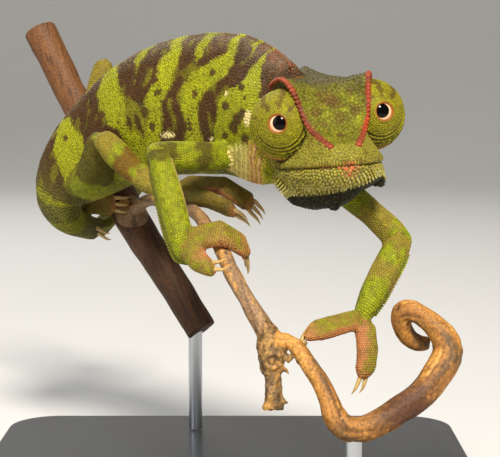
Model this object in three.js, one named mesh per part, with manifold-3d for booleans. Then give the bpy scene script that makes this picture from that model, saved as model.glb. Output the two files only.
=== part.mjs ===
// A chameleon on its perch, held over a plain display base: a still, life-size model.
//
// Frame: millimetres, +Z up, the origin at the middle of the base's underside. The head looks
// towards -Y and a little towards +X, and the body runs back towards -X and +Y. "Near" limbs are
// the animal's right ones, on the -Y side of the trunk, and "far" limbs are its left ones.
//
// Soft forms are spheres drawn out along a curve (sweep) or over ribs (loft). A form that meets
// another is cut back from it, so that a thin gap parts them.

import * as THREE from 'three';
import { mergeVertices } from 'three/addons/utils/BufferGeometryUtils.js';
import Module from 'manifold-3d';

const wasm = await Module();
wasm.setup();

// ---- driving dimensions, mm ----

const GAP = 0.3;                    // clear space between pieces that touch

const BASE = { width: 112, depth: 106, height: 6, corner: 12, bevel: 0.8 };
const ROD_RADIUS = 1.7;

const TURRET_RADIUS = 7.4;          // the eye with its fused, scaly lids
const TURRET_APART = 8.7;           // from the head's middle plane to a turret's centre
const TURRET_DROP = { right: 0.9, left: 0.1 };           // and how far below the eyes' level
const LID_RISE = 0.8;               // how far the lids rise to their opening
const LID_SPREAD = 0.42;            // radians over which they rise
const LID_OPENING = 1.85;           // radius of the opening
const EYE_RADIUS = 3.2;
const EYE_DEPTH = 0.35;             // the eyeball's front below the edge of the lids

const CREST_RADIUS = 0.6;           // the beaded ridge over each eye and down the snout
const CLAW_LENGTH = 2.6;
const CLAW_RADIUS = 0.5;
const CLAW_DROP = 0.6;              // how far its tip hooks to one side

const HEAD_CENTRE = [20.8, -24.9, 86];                  // midway between the turrets
const HEAD_TURN = { yaw: 10, pitch: -3, roll: -4 };      // degrees

// Where each eye looks, in the head's own axes.
const GAZE = { right: [-0.41, -0.91, 0.04], left: [0.17, -0.98, 0.04] };

// ---- finishes ----

function finish(color, roughness, metalness = 0) {
  return { color, roughness, metalness };
}

const SKIN = finish(0x8a9c22, 0.62);
const LIDS = finish(0x93a12c, 0.6);
const SOLES = finish(0x8f8d3a, 0.65);
const CLAWS = finish(0xd9b56a, 0.4);
const EYE = finish(0x120d0b, 0.08);
const BARK = finish(0x8a6b3e, 0.85);
const BASE_FINISH = finish(0x2b2724, 0.45);
const ROD_FINISH = finish(0x9a9a98, 0.35, 1);

// ---- solids ----

function vector(point) {
  return new THREE.Vector3(...point);
}

// A closed three.js geometry as a solid with its faces turned out.
function solid(geometry) {
  const bare = geometry.clone();
  bare.deleteAttribute('normal');
  bare.deleteAttribute('uv');
  const merged = mergeVertices(bare, 1e-4);
  const corners = new Float32Array(merged.attributes.position.array);
  let order = Uint32Array.from(merged.index.array);
  if (signedVolume(corners, order) < 0) order = order.reverse();
  return new wasm.Manifold(new wasm.Mesh({ numProp: 3, vertProperties: corners, triVerts: order }));
}

function signedVolume(corners, order) {
  const [a, b, c] = [new THREE.Vector3(), new THREE.Vector3(), new THREE.Vector3()];
  let volume = 0;
  for (let i = 0; i < order.length; i += 3) {
    a.fromArray(corners, 3 * order[i]);
    b.fromArray(corners, 3 * order[i + 1]);
    c.fromArray(corners, 3 * order[i + 2]);
    volume += a.dot(b.cross(c)) / 6;
  }
  return volume;
}

function geometryOf(shape) {
  const mesh = shape.getMesh();
  const geometry = new THREE.BufferGeometry();
  geometry.setAttribute('position', new THREE.BufferAttribute(mesh.vertProperties.slice(), 3));
  geometry.setIndex(new THREE.BufferAttribute(mesh.triVerts.slice(), 1));
  geometry.computeVertexNormals();
  return geometry;
}

// The same solid with its skin moved outwards by the gap.
function grown(shape, by = GAP) {
  const geometry = geometryOf(shape);
  const { position, normal } = geometry.attributes;
  for (let i = 0; i < position.count; i += 1) {
    position.setXYZ(
      i,
      position.getX(i) + by * normal.getX(i),
      position.getY(i) + by * normal.getY(i),
      position.getZ(i) + by * normal.getZ(i),
    );
  }
  return solid(geometry);
}

function joined(shapes) {
  return shapes.reduce((sum, shape) => sum.add(shape));
}

// What is left of a solid beside its neighbours: its largest lump, kept clear of them.
function clearOf(shape, neighbours) {
  const rest = neighbours.reduce((left, other) => left.subtract(grown(other)), shape);
  const lumps = rest.decompose();
  lumps.sort((a, b) => b.volume() - a.volume());
  return lumps[0];
}

// ---- forms ----

const oval = (angle) => [Math.cos(angle), Math.sin(angle)];

// How full a rounded end is at t, from 0 at the tip to 1 past the rounding.
function fullness(t, [start, end]) {
  const near = start > 0 ? Math.min(1, t / start) : 1;
  const far = end > 0 ? Math.min(1, (1 - t) / end) : 1;
  return Math.sqrt(1 - (1 - near) ** 2) * Math.sqrt(1 - (1 - far) ** 2);
}

// Where a ring of a sphere goes along a form. Rings crowd towards an end that is round.
function along(ring, rings, [start, end]) {
  const first = start > 0 ? 0 : 1;
  const last = end > 0 ? rings : rings - 1;
  const s = THREE.MathUtils.clamp((ring - first) / (last - first), 0, 1);
  if (start > 0 && end > 0) return (1 - Math.cos(Math.PI * s)) / 2;
  if (start > 0) return 1 - Math.cos((Math.PI * s) / 2);
  if (end > 0) return Math.sin((Math.PI * s) / 2);
  return s;
}

// Bends a unit sphere into another closed form, ring by ring. place(t, angle, scale) gives a point.
function warped({ sides, rings, caps }, place) {
  const geometry = new THREE.SphereGeometry(1, sides, rings);
  const position = geometry.attributes.position;
  for (let i = 0; i < position.count; i += 1) {
    const height = THREE.MathUtils.clamp(position.getY(i), -1, 1);
    const ring = Math.round((Math.acos(height) / Math.PI) * rings);
    const angle = (2 * Math.PI * Math.round(
      (Math.atan2(position.getZ(i), position.getX(i)) / (2 * Math.PI)) * sides,
    )) / sides;
    const t = along(ring, rings, caps);
    const isPole = ring === 0 || ring === rings;
    const point = place(t, angle, isPole ? 0 : fullness(t, caps));
    position.setXYZ(i, point.x, point.y, point.z);
  }
  return solid(geometry);
}

// The frame's axis that a curve runs along least, so that rings laid out from it don't twist.
function crosswise(curve) {
  const axes = [[1, 0, 0], [0, 1, 0], [0, 0, 1]].map(vector);
  const shared = (axis) => Math.max(...curve.getPoints(8).slice(1).map(
    (_, i) => Math.abs(curve.getTangent((i + 0.5) / 8).dot(axis)),
  ));
  return axes.reduce((best, axis) => (shared(axis) < shared(best) ? axis : best));
}

// A body along a curve. size holds a radius, or [half width, half height], for each path point.
// side points along the half width, and range takes a stretch of the curve.
function sweep({
  path, size, side, sides = 10, rings = 10, caps = [0.12, 0.12], range = [0, 1], section = oval,
}) {
  const centre = new THREE.CatmullRomCurve3(path.map(vector));
  const girth = new THREE.CatmullRomCurve3(
    size.map((value) => vector(Array.isArray(value) ? [...value, 0] : [value, value, 0])),
  );
  const lateral = side ? vector(side) : crosswise(centre);
  return warped({ sides, rings, caps }, (t, angle, scale) => {
    const u = range[0] + (range[1] - range[0]) * t;
    const tangent = centre.getTangent(u);
    const across = lateral.clone().addScaledVector(tangent, -lateral.dot(tangent)).normalize();
    const up = tangent.clone().cross(across);
    const half = girth.getPoint(u);
    const [x, y] = section(angle, u);
    return centre.getPoint(u)
      .addScaledVector(across, x * half.x * scale)
      .addScaledVector(up, y * half.y * scale);
  });
}

// A mirror-symmetric body over ribs. Each station is [y, [x, z], [x, z], ...], with the half
// section from its top to its bottom.
function loft({ stations, sides, rings }) {
  const ribs = stations[0].slice(1).map((_, j) => new THREE.CatmullRomCurve3(
    stations.map(([y, ...half]) => new THREE.Vector3(half[j][0], y, half[j][1])),
    false,
    'catmullrom',
  ));
  return warped({ sides, rings, caps: [0, 0] }, (t, angle, scale) => {
    const ring = new THREE.CatmullRomCurve3(ribs.map((rib) => rib.getPoint(t)));
    const turn = Math.abs(Math.atan2(Math.cos(angle), Math.sin(angle))) / Math.PI;
    const point = ring.getPoint(turn);
    const middle = ring.getPoint(0).lerp(ring.getPoint(1), 0.5);
    point.x *= Math.cos(angle) < 0 ? -1 : 1;
    return middle.lerp(point, scale);
  });
}

// ---- base and perch ----

function baseShape() {
  const { width, depth, height, corner, bevel } = BASE;
  const [x, y] = [width / 2 - bevel - corner, depth / 2 - bevel - corner];
  const outline = new THREE.Shape();
  outline.absarc(x, y, corner, 0, Math.PI / 2);
  outline.absarc(-x, y, corner, Math.PI / 2, Math.PI);
  outline.absarc(-x, -y, corner, Math.PI, 1.5 * Math.PI);
  outline.absarc(x, -y, corner, 1.5 * Math.PI, 2 * Math.PI);
  outline.closePath();
  const plate = new THREE.ExtrudeGeometry(outline, {
    depth: height - 2 * bevel, curveSegments: 3, bevelSegments: 1, bevelSize: bevel,
    bevelThickness: bevel,
  });
  return solid(plate.translate(0, 0, bevel));
}

// An upright rod from the base's top to inside what it carries, which then cuts it to fit.
function rodShape([x, y, top]) {
  const bottom = BASE.height + GAP;
  const rod = new THREE.CylinderGeometry(ROD_RADIUS, ROD_RADIUS, top - bottom, 10);
  return solid(rod.rotateX(Math.PI / 2).translate(x, y, (top + bottom) / 2));
}

const wood = (path, size, rings, sides = 7, caps = [0.06, 0.06]) => (
  sweep({ path, size, rings, sides, caps, side: [0.3, -0.9, 0.3] })
);

const branch = wood(
  [[-50.2, 65.9, 106], [-41.3, 60.1, 89.1], [-33.5, 53.6, 75.2], [-25.4, 46.9, 59], [-15.6, 41, 44.5],
    [-6.9, 36.4, 31.2]],
  [4.3, 4.1, 4.0, 4.4, 4.0, 3.9], 10, 11, [0.03, 0.03],
);
const twigRear = wood(
  [[-24.7, 44, 60.1], [-19, 27.4, 64.5], [-10.9, 7.4, 65.3], [-6.5, -6.9, 64.4], [-3.8, -19, 62.6]],
  [1.7, 1.6, 1.5, 1.5, 1.5], 8, 8,
);
const twigGrip = wood(
  [
    [-3.8, -19, 62.6], [-2, -23.5, 60.6], [-0.5, -27.5, 58.4], [1, -31, 55.4], [3.2, -34, 51.7],
    [5.6, -36.5, 47.9], [8.4, -38.3, 43.6],
  ],
  [1.6, 1.65, 1.7, 1.75, 1.75, 1.85, 2.0], 10, 8,
);
const knot = joined([
  wood(
    [[8.4, -38.2, 44.7], [9, -39.2, 41.9], [9.3, -39.6, 39], [8.8, -39.8, 35.8]],
    [1.9, 2.9, 2.9, 2.1], 8, 9, [0.4, 0.3],
  ),
  wood([[9.5, -39.8, 37.4], [9.5, -40.3, 33.1], [9.7, -40.8, 28.8]], [1.9, 1.8, 2.1], 6, 8, [0.1, 0.06]),
]);
const archedTwig = wood(
  [
    [9.2, -38.8, 41.6], [11.5, -39.5, 42.6], [13.3, -40.3, 42.2], [14.8, -41.4, 40.7], [16.3, -42.4, 38.6],
    [18.8, -44, 34.9], [20.3, -45.5, 31.7], [21.2, -46.6, 29], [23.6, -47, 26.5],
  ],
  [1.55, 1.5, 1.55, 1.7, 1.8, 1.9, 2.05, 2.4, 2.65], 12,
);
const bentTwig = wood(
  [
    [23.2, -47, 26.5], [26.3, -46.8, 26.4], [29.2, -46, 27.2], [32.9, -44.6, 28.8], [38.4, -42, 32.1],
    [42.2, -39.3, 36.1], [44.4, -37.6, 39.6],
  ],
  [2.6, 2.7, 2.7, 2.85, 3.05, 3.25, 3.3], 9, 8,
);
const curl = wood(
  [
    [44.4, -37.6, 39.4], [43.6, -36.8, 42.5], [41.9, -36.2, 44.6], [39.7, -35.6, 46.4], [37.4, -34.8, 47.6],
    [35.6, -34, 47.1], [35.5, -33.2, 44.7], [36.7, -32.5, 42.2], [38.8, -31.9, 40.7], [41.3, -31.5, 40.5],
  ],
  [3.3, 2.95, 2.45, 2.15, 2.2, 2.25, 2.15, 2.0, 1.85, 1.45], 14, 8,
);

// ---- head, in its own axes: x across, y back from the nose, z up ----

const LIP = -9.75;                  // height of the mouth line

const skullStations = [
  [-15.3, [0, -7.6], [1.2, -7.6], [1.9, -8.3], [2.3, -9.1], [2.1, LIP], [0, LIP]],
  [-14.2, [0, -6.6], [2.2, -6.6], [3.3, -7.7], [4.0, -8.9], [4.0, LIP], [0, LIP]],
  [-12.2, [0, -5.4], [3.3, -5.3], [4.6, -7.2], [5.6, -8.7], [5.7, LIP], [0, LIP]],
  [-9.5, [0, -3.6], [4.9, -3.0], [5.5, -5.6], [7.0, -8.3], [7.4, LIP], [0, LIP]],
  [-6.5, [0, 0.6], [7.0, 2.4], [6.0, -3.2], [8.2, -7.8], [9.0, LIP], [0, LIP]],
  [-3.0, [0, 4.4], [8.3, 6.9], [6.4, -0.5], [9.5, -7.9], [10.2, LIP], [0, LIP]],
  [1.0, [0, 6.6], [9.2, 8.2], [6.6, 0.2], [10.2, -8.0], [10.9, LIP], [0, LIP]],
  [4.5, [0, 7.7], [10.3, 7.3], [7.8, 0.6], [10.6, -7.0], [11.3, LIP], [0, LIP]],
  [9.0, [0, 9.2], [7.6, 7.2], [9.2, 0.6], [10.2, -6.2], [10.4, LIP], [0, LIP]],
  [13.0, [0, 10.3], [4.4, 8.0], [8.0, 1.6], [8.6, -5.0], [8.2, -9.0], [0, -9.4]],
  [16.5, [0, 11.1], [2.2, 9.5], [5.2, 3.0], [6.0, -3.0], [5.6, -6.4], [0, -7.0]],
  [19.0, [0, 11.6], [0.9, 10.8], [1.8, 8.4], [2.2, 5.6], [1.8, 3.4], [0, 2.8]],
];

const jawTop = LIP - GAP;
const jawStations = [
  [-14.9, [0, jawTop], [1.9, jawTop], [2.0, -11.2], [1.5, -11.9], [0, -12.1]],
  [-13.7, [0, jawTop], [3.8, jawTop], [4.0, -11.4], [3.2, -12.8], [0, -13.2]],
  [-11.0, [0, jawTop], [6.2, jawTop], [6.3, -11.6], [5.2, -13.3], [0, -13.9]],
  [-7.5, [0, jawTop], [8.0, jawTop], [8.0, -11.8], [6.8, -13.6], [0, -14.6]],
  [-3.5, [0, jawTop], [9.6, jawTop], [9.5, -12.0], [8.2, -14.0], [0, -15.2]],
  [1.0, [0, jawTop], [10.6, jawTop], [10.5, -12.4], [9.2, -14.6], [0, -15.4]],
  [5.5, [0, jawTop], [10.7, jawTop], [10.5, -12.2], [9.1, -14.2], [0, -14.6]],
];

// The ridge from the snout up over the eye, for the side given by sign.
function crestShape(sign) {
  const path = [
    [2.7, -13.2, -6.0], [4.3, -10.6, -4.1], [5.8, -8.3, -1.7], [6.8, -7.0, 1.4], [7.4, -5.7, 4.1],
    [8.2, -3.5, 6.9], [9.1, -0.4, 8.4], [10.1, 2.8, 7.9], [10.4, 5.4, 6.7],
  ];
  return sweep({
    path: path.map(([x, y, z]) => [sign * x, y, z]),
    size: path.map(() => CREST_RADIUS), sides: 4, rings: 9, caps: [0.05, 0.05], side: [0, 0.5, 0.8],
  });
}

function turretSolids(sign, gaze, drop) {
  const centre = new THREE.Vector3(sign * TURRET_APART, 0, -drop);
  const look = vector(gaze).normalize();
  const facing = new THREE.Quaternion().setFromUnitVectors(new THREE.Vector3(0, 1, 0), look);
  const lids = new THREE.SphereGeometry(TURRET_RADIUS, 14, 11);
  const position = lids.attributes.position;
  for (let i = 0; i < position.count; i += 1) {
    const point = new THREE.Vector3().fromBufferAttribute(position, i);
    const away = Math.acos(THREE.MathUtils.clamp(point.y / TURRET_RADIUS, -1, 1));
    point.multiplyScalar(1 + (LID_RISE / TURRET_RADIUS) * Math.exp(-((away / LID_SPREAD) ** 2)));
    position.setXYZ(i, point.x, point.y, point.z);
  }
  const front = TURRET_RADIUS + LID_RISE;
  const toEye = front - EYE_DEPTH - EYE_RADIUS;
  const place = (geometry) => solid(
    geometry.applyQuaternion(facing).translate(centre.x, centre.y, centre.z),
  );
  const ball = (radius) => place(new THREE.SphereGeometry(radius, 10, 7).translate(0, toEye, 0));
  const opening = place(
    new THREE.CylinderGeometry(LID_OPENING, LID_OPENING, EYE_RADIUS, 11).translate(0, front, 0),
  );
  const turret = place(lids).subtract(ball(EYE_RADIUS + GAP)).subtract(opening);
  return { turret, eyeball: ball(EYE_RADIUS) };
}

const headPose = new THREE.Matrix4().compose(
  vector(HEAD_CENTRE),
  new THREE.Quaternion().setFromEuler(new THREE.Euler(
    THREE.MathUtils.degToRad(HEAD_TURN.pitch),
    THREE.MathUtils.degToRad(HEAD_TURN.roll),
    THREE.MathUtils.degToRad(HEAD_TURN.yaw),
    'ZXY',
  )),
  new THREE.Vector3(1, 1, 1),
);
const posed = (shape) => shape.transform(headPose.elements);

const skull = posed(joined([
  loft({ stations: skullStations, sides: 18, rings: 16 }), crestShape(1), crestShape(-1),
]));
const jaw = posed(loft({ stations: jawStations, sides: 12, rings: 8 }));
const throat = posed(sweep({
  path: [[0, -9.5, -12.4], [-0.9, -3.5, -14], [-2.2, 4, -14.1], [-3, 11, -11.6]],
  size: [[3.4, 2.8], [6.6, 4.4], [8, 4.8], [7.6, 5.2]], sides: 10, rings: 7, caps: [0.3, 0.3],
}));
const rightEye = turretSolids(-1, GAZE.right, TURRET_DROP.right);
const leftEye = turretSolids(1, GAZE.left, TURRET_DROP.left);

// ---- neck, trunk and tail: one spine, parted by thin gaps ----

const spine = [
  { at: [13.7, -20.9, 83.9], half: [7.4, 11.9] },
  { at: [8.4, -8.7, 85.5], half: [7.2, 14.9] },
  { at: [1.7, 3.6, 87.7], half: [7.2, 15.7] },
  { at: [-9.3, 14.7, 87.3], half: [8.0, 15.8] },
  { at: [-20.4, 24.5, 84.3], half: [8.2, 14.9] },
  { at: [-30.3, 30.9, 78.2], half: [7.8, 12.9] },
  { at: [-38.3, 35.2, 71.0], half: [6.8, 10.4] },
  { at: [-41.7, 36.4, 64.5], half: [5.4, 7.5] },
  { at: [-40.8, 37.4, 60.1], half: [4.1, 4.8] },
  { at: [-37.6, 42.4, 57.2], half: [3.2, 3.5] },
  { at: [-33, 52.6, 55.7], half: [2.5, 2.7] },
];

// from is where the coil starts, in degrees, and lean how far it drifts towards -Y.
const COIL = {
  centre: [-28.7, 64, 77.8], outer: 11.6, inner: 5.4, turns: 1.6, from: -62, lean: 3,
  thick: 2.1, thin: 0.75, steps: 14,
};

// The tail's coil, a flat spiral that curls in beside itself and thins to its tip.
function coilPoints() {
  const [x, y, z] = COIL.centre;
  return Array.from({ length: COIL.steps + 1 }, (_, i) => {
    const done = i / COIL.steps;
    const radius = COIL.outer + (COIL.inner - COIL.outer) * done;
    const angle = THREE.MathUtils.degToRad(COIL.from) + 2 * Math.PI * COIL.turns * done;
    const at = [x + radius * Math.cos(angle), y - COIL.lean * done, z + radius * Math.sin(angle)];
    const thick = COIL.thick + (COIL.thin - COIL.thick) * done;
    return { at, half: [thick, 1.04 * thick] };
  });
}

const backbone = [...spine, ...coilPoints()];
const ACROSS_BODY = [-0.66, -0.75, 0];  // level, towards the animal's right
const KEEL_END = 11;                    // the station where the keel has gone, and how many before
const KEEL_FADE = 7;                    // it that begins
const STATION_GAP = 0.014;              // half the gap, as a share of a station

// A keeled section, narrow along the back and a little along the belly, that turns oval by the tail.
function keeled(angle, u) {
  const [x, y] = oval(angle);
  const keel = THREE.MathUtils.clamp(KEEL_END - u * backbone.length, 0, KEEL_FADE) / KEEL_FADE;
  const narrow = 0.3 * Math.max(0, y) ** 2.5 + 0.1 * Math.max(0, -y) ** 2;
  return [x * (1 - keel * narrow), y];
}

// The stretch of the backbone between two stations.
function lengthOfBody(from, to, { sides, rings, caps = [0, 0] }) {
  const last = backbone.length - 1;
  return sweep({
    path: backbone.map(({ at }) => at),
    size: backbone.map(({ half }) => half),
    side: ACROSS_BODY,
    range: [(from + STATION_GAP) / last, (to - STATION_GAP) / last],
    section: keeled, sides, rings, caps,
  });
}

const neck = lengthOfBody(0.25, 1.5, { sides: 14, rings: 4 });
const trunk = lengthOfBody(1.5, 6.8, { sides: 16, rings: 16 });
const tailBase = lengthOfBody(6.8, 9.5, { sides: 12, rings: 8 });
const tailBend = lengthOfBody(9.5, 13, { sides: 9, rings: 9 });
const tailCoil = lengthOfBody(13, 16, { sides: 8, rings: 7 });
const tailCoilInner = lengthOfBody(16, 19, { sides: 8, rings: 7 });
const tailTip = lengthOfBody(19, 25, { sides: 7, rings: 12, caps: [0, 0.12] });

// ---- legs ----

const limb = (path, size, caps = [0.15, 0.15]) => sweep({ path, size, sides: 9, rings: 6, caps });

const nearForeUpper = limb(
  [[2.1, -1.5, 76.9], [-6.2, -9, 77.3], [-10.4, -11.5, 77.6], [-14.5, -13, 77.8], [-17.1, -13.6, 77.2]],
  [4.2, 3.6, 3.5, 3.3, 3.1],
);
const nearForeLower = limb(
  [
    [-15.3, -13.4, 79.7], [-13.8, -15.5, 75.6], [-12.7, -17.8, 72.2], [-11.5, -20, 68.6],
    [-10.5, -22.3, 64.6], [-9.2, -24.4, 60.7], [-7.5, -26.8, 55.2],
  ],
  [3.1, 3.3, 3.4, 3.5, 3.5, 3.5, 3.5],
);
const farForeUpper = limb(
  [
    [16.1, 0, 76.1], [23.2, -7.3, 71], [28.1, -12, 67.9], [30.8, -15.5, 65.5], [33.5, -18.5, 62.9],
    [35.8, -21, 60.8], [38.1, -22.2, 58.4],
  ],
  [4.2, 3.4, 3.0, 2.9, 3.0, 3.1, 3.1],
);
const farForeLower = limb(
  [
    [37.3, -20.6, 61.8], [35.9, -22, 59.2], [34.1, -24, 56.9], [32.7, -26, 54.5], [31.1, -28.3, 51.9],
    [29.4, -30.5, 49.2], [27.3, -33, 45.1],
  ],
  [3.2, 3.4, 3.5, 3.5, 3.4, 3.2, 3.0],
);
const nearHindUpper = limb([[-36.6, 31, 68], [-31.4, 23, 72.2], [-29.9, 15.4, 81]], [5.2, 5.0, 3.4]);
const nearHindLower = limb([[-29.9, 14.8, 81], [-21.6, 8.6, 73], [-13.3, 4.2, 68]], [3.4, 3.1, 2.7]);
const farHindUpper = limb([[-36.2, 38.6, 72.4], [-33.4, 43.6, 86], [-31.0, 46.8, 98.8]], [4.4, 3.5, 3.2]);
const farHindLower = limb([[-31.4, 47.6, 98.2], [-35.6, 47.4, 81], [-39.4, 46, 68]], [3.1, 2.8, 2.5]);

// ---- feet: two bundles of toes that close like tongs ----

// A bundle's toes lie side by side, further apart towards their tips by spread.
function toeBundle({ path, count, spread, radius }) {
  const toes = [];
  for (let i = 0; i < count; i += 1) {
    const shift = vector(spread).multiplyScalar(i - (count - 1) / 2);
    const last = path.length - 1;
    toes.push(path.map((point, j) => vector(point).addScaledVector(shift, 0.45 + 0.55 * j / last)));
  }
  const bodies = toes.map((points) => sweep({
    path: points.map((p) => p.toArray()),
    size: points.map((_, j) => radius[0] + (radius[1] - radius[0]) * j / (points.length - 1)),
    sides: 6, rings: 4, caps: [0.25, 0.2],
  }));
  return { body: joined(bodies), toes };
}

// A hooked claw that carries on from a toe and turns towards droop.
function clawShape(points, droop) {
  const tip = points[points.length - 1];
  const forward = tip.clone().sub(points[points.length - 2]).normalize();
  const down = vector(droop).normalize();
  const middle = tip.clone().addScaledVector(forward, 0.5 * CLAW_LENGTH)
    .addScaledVector(down, 0.2 * CLAW_DROP);
  const end = tip.clone().addScaledVector(forward, 0.9 * CLAW_LENGTH).addScaledVector(down, CLAW_DROP);
  return sweep({
    path: [tip.clone().addScaledVector(forward, -0.5), middle, end].map((p) => p.toArray()),
    size: [CLAW_RADIUS, 0.75 * CLAW_RADIUS, 0.3 * CLAW_RADIUS],
    sides: 5, rings: 4, caps: [0, 0.2],
  });
}

const FEET = {
  near_fore: {
    leg: [nearForeLower, nearForeUpper],
    inner: {
      path: [
        [-8.1, -26, 60.3], [-4.6, -27.4, 61.9], [-0.7, -28, 62.6], [2.8, -26.5, 61.2], [4, -24, 57.1],
      ],
      count: 3, spread: [-0.5, 1.1, 1.3], radius: [1.9, 1.3], droop: [-1, -0.3, -0.4],
    },
    outer: {
      path: [[-8.1, -26.5, 60.1], [-6.2, -29.3, 58.2], [-4.3, -31.6, 56.1], [-1.8, -32.8, 56.4]],
      count: 2, spread: [-0.6, 1.3, 1.3], radius: [2.5, 1.5], droop: [0.3, 0.4, 1],
    },
  },
  far_fore: {
    leg: [farForeLower, farForeUpper],
    inner: {
      path: [
        [27.6, -32.8, 45.9], [24, -34.9, 45.2], [20.5, -37, 44.6], [17.4, -38.8, 44.5], [16, -39.4, 43.4],
      ],
      count: 3, spread: [-0.6, -1.2, -0.9], radius: [1.8, 1.15], droop: [-0.1, 0, -1],
    },
    outer: {
      path: [
        [27.8, -32.8, 45.9], [28.4, -34.2, 42.6], [28.5, -35.6, 39.4], [28.3, -36.4, 36.6], [27.3, -37, 33.7],
      ],
      count: 2, spread: [1.5, 0.6, 0.2], radius: [1.9, 1.2], droop: [-1, 0, -0.3],
    },
  },
  near_hind: {
    leg: [nearHindLower, nearHindUpper],
    inner: {
      path: [[-12.6, 3.2, 68], [-6.5, -0.9, 67.6], [-1.6, -5.1, 66.6], [3, -8.4, 64.2]],
      count: 2, spread: [0.6, 0.6, -1.4], radius: [1.8, 1.1], droop: [0, 0, -1],
    },
    outer: {
      path: [[-12.2, 4.6, 69.6], [-4.5, 2.4, 70.6], [2.0, -0.8, 68.8], [6.3, -4.2, 65]],
      count: 3, spread: [0.5, 0.8, 1.0], radius: [1.5, 0.95], droop: [0, 0, -1],
    },
  },
  far_hind: {
    leg: [farHindLower, farHindUpper],
    outer: {
      path: [[-39.5, 45.0, 67.2], [-36.7, 42.4, 63.6], [-31.8, 40.3, 62.3], [-27.6, 40.0, 62.3]],
      count: 3, spread: [0.2, -0.5, 1.7], radius: [1.9, 1.25], droop: [0.3, 1, -0.2],
    },
    inner: {
      path: [[-39.4, 46.4, 66.4], [-38.4, 45.6, 60.6], [-35.4, 43, 56.4], [-31.8, 40.8, 54.9]],
      count: 2, spread: [0.4, -0.6, -1.4], radius: [1.8, 1.2], droop: [0.4, 1, 0.4],
    },
  },
};

// ---- assembly ----

const model = new THREE.Group();
const perch = [branch, twigRear, twigGrip, knot, archedTwig, bentTwig, curl];

function add(name, look, shape) {
  const mesh = new THREE.Mesh(geometryOf(shape), new THREE.MeshStandardMaterial(look));
  mesh.name = name;
  model.add(mesh);
  return shape;
}

// Adds named solids in order, each cut clear of the ones before it and of those in around.
function addChain(look, named, around = []) {
  const done = [...around];
  for (const [name, shape] of named) done.push(add(name, look, clearOf(shape, done)));
  return done.slice(around.length);
}

const wooden = addChain(BARK, [
  ['perch_branch', branch],
  ['perch_knot', knot],
  ['perch_twig_grip', twigGrip],
  ['perch_twig_rear', twigRear],
  ['perch_bend', bentTwig],
  ['perch_arch', archedTwig],
  ['perch_curl', curl],
]);

add('stand_base', BASE_FINISH, baseShape());
addChain(ROD_FINISH, [
  ['stand_rod_front', rodShape([25, -46.7, 27])],
  ['stand_rod_rear', rodShape([-8.6, 37.4, 34])],
], wooden);

const body = addChain(SKIN, [
  ['head', skull],
  ['lower_jaw', jaw],
  ['throat', throat],
], wooden);
body.push(...addChain(LIDS, [
  ['eye_turret_right', posed(rightEye.turret)],
  ['eye_turret_left', posed(leftEye.turret)],
], body));
const head = body[0];
add('eyeball_right', EYE, clearOf(posed(rightEye.eyeball), [head]));
add('eyeball_left', EYE, clearOf(posed(leftEye.eyeball), [head]));
body.push(...addChain(SKIN, [
  ['trunk', trunk],
  ['neck', neck],
  ['tail_base', tailBase],
  ['tail_bend', tailBend],
  ['tail_coil', tailCoil],
  ['tail_coil_inner', tailCoilInner],
  ['tail_tip', tailTip],
], [...wooden, ...body]));

const fixed = [...wooden, ...body];
for (const [foot, { leg: [lower, upper], inner, outer }] of Object.entries(FEET)) {
  const [upperCut, lowerCut] = addChain(SKIN, [
    [`${foot}_leg_upper`, upper],
    [`${foot}_leg_lower`, lower],
  ], fixed);
  const around = [...fixed, upperCut, lowerCut];
  const bundles = { inner: toeBundle(inner), outer: toeBundle(outer) };
  const [innerCut, outerCut] = addChain(SOLES, [
    [`${foot}_toes_inner`, bundles.inner.body],
    [`${foot}_toes_outer`, bundles.outer.body],
  ], around);
  around.push(innerCut, outerCut);
  for (const [side, { droop }] of Object.entries({ inner, outer })) {
    bundles[side].toes.forEach((points, i) => {
      const claw = clearOf(clawShape(points, droop), around);
      around.push(add(`${foot}_claw_${side}_${i + 1}`, CLAWS, claw));
    });
  }
  fixed.push(...around.slice(fixed.length));
}

export default model;
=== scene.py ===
# %% [markdown]
# # A chameleon on a curled twig
# A life-size display model: one animal, a cut length of its perch, and a plain stand. The packed
# solids give every place and size. Each flesh solid is replaced by one skin, the skin is covered
# with small solid scales, and the eyes, claws, bark and stand get pieces and finishes of their own.

# %% Load the solids
import math

import bpy
import numpy as np
from mathutils import Matrix, Vector, noise
from mathutils.bvhtree import BVHTree
from mathutils.kdtree import KDTree


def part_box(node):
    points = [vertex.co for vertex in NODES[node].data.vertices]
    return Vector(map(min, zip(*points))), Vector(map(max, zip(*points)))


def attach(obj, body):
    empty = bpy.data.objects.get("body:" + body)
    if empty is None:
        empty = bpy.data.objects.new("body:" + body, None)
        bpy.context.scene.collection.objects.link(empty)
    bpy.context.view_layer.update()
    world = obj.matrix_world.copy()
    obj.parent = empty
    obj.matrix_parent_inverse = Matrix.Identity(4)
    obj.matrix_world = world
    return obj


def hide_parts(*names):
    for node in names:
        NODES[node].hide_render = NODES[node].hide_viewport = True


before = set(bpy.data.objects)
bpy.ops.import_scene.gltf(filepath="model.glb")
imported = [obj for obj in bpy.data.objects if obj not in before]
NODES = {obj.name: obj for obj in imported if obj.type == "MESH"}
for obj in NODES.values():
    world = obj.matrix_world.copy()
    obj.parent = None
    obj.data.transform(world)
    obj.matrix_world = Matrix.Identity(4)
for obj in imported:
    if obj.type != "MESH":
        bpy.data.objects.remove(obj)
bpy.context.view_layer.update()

MM = 0.001
SEED_SHIFT = 17.3        # how far apart two seeds of the noise are read

# %% [markdown]
# ## Small tools
# Colours are chosen as sRGB hex codes, as on a paint chart, but a shader reads linear light, so one
# function turns them. One more adds a shader node with its settings and links, and one runs a
# modifier at once, so that each step leaves a plain mesh behind. The rest measure lines and solids.

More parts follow.
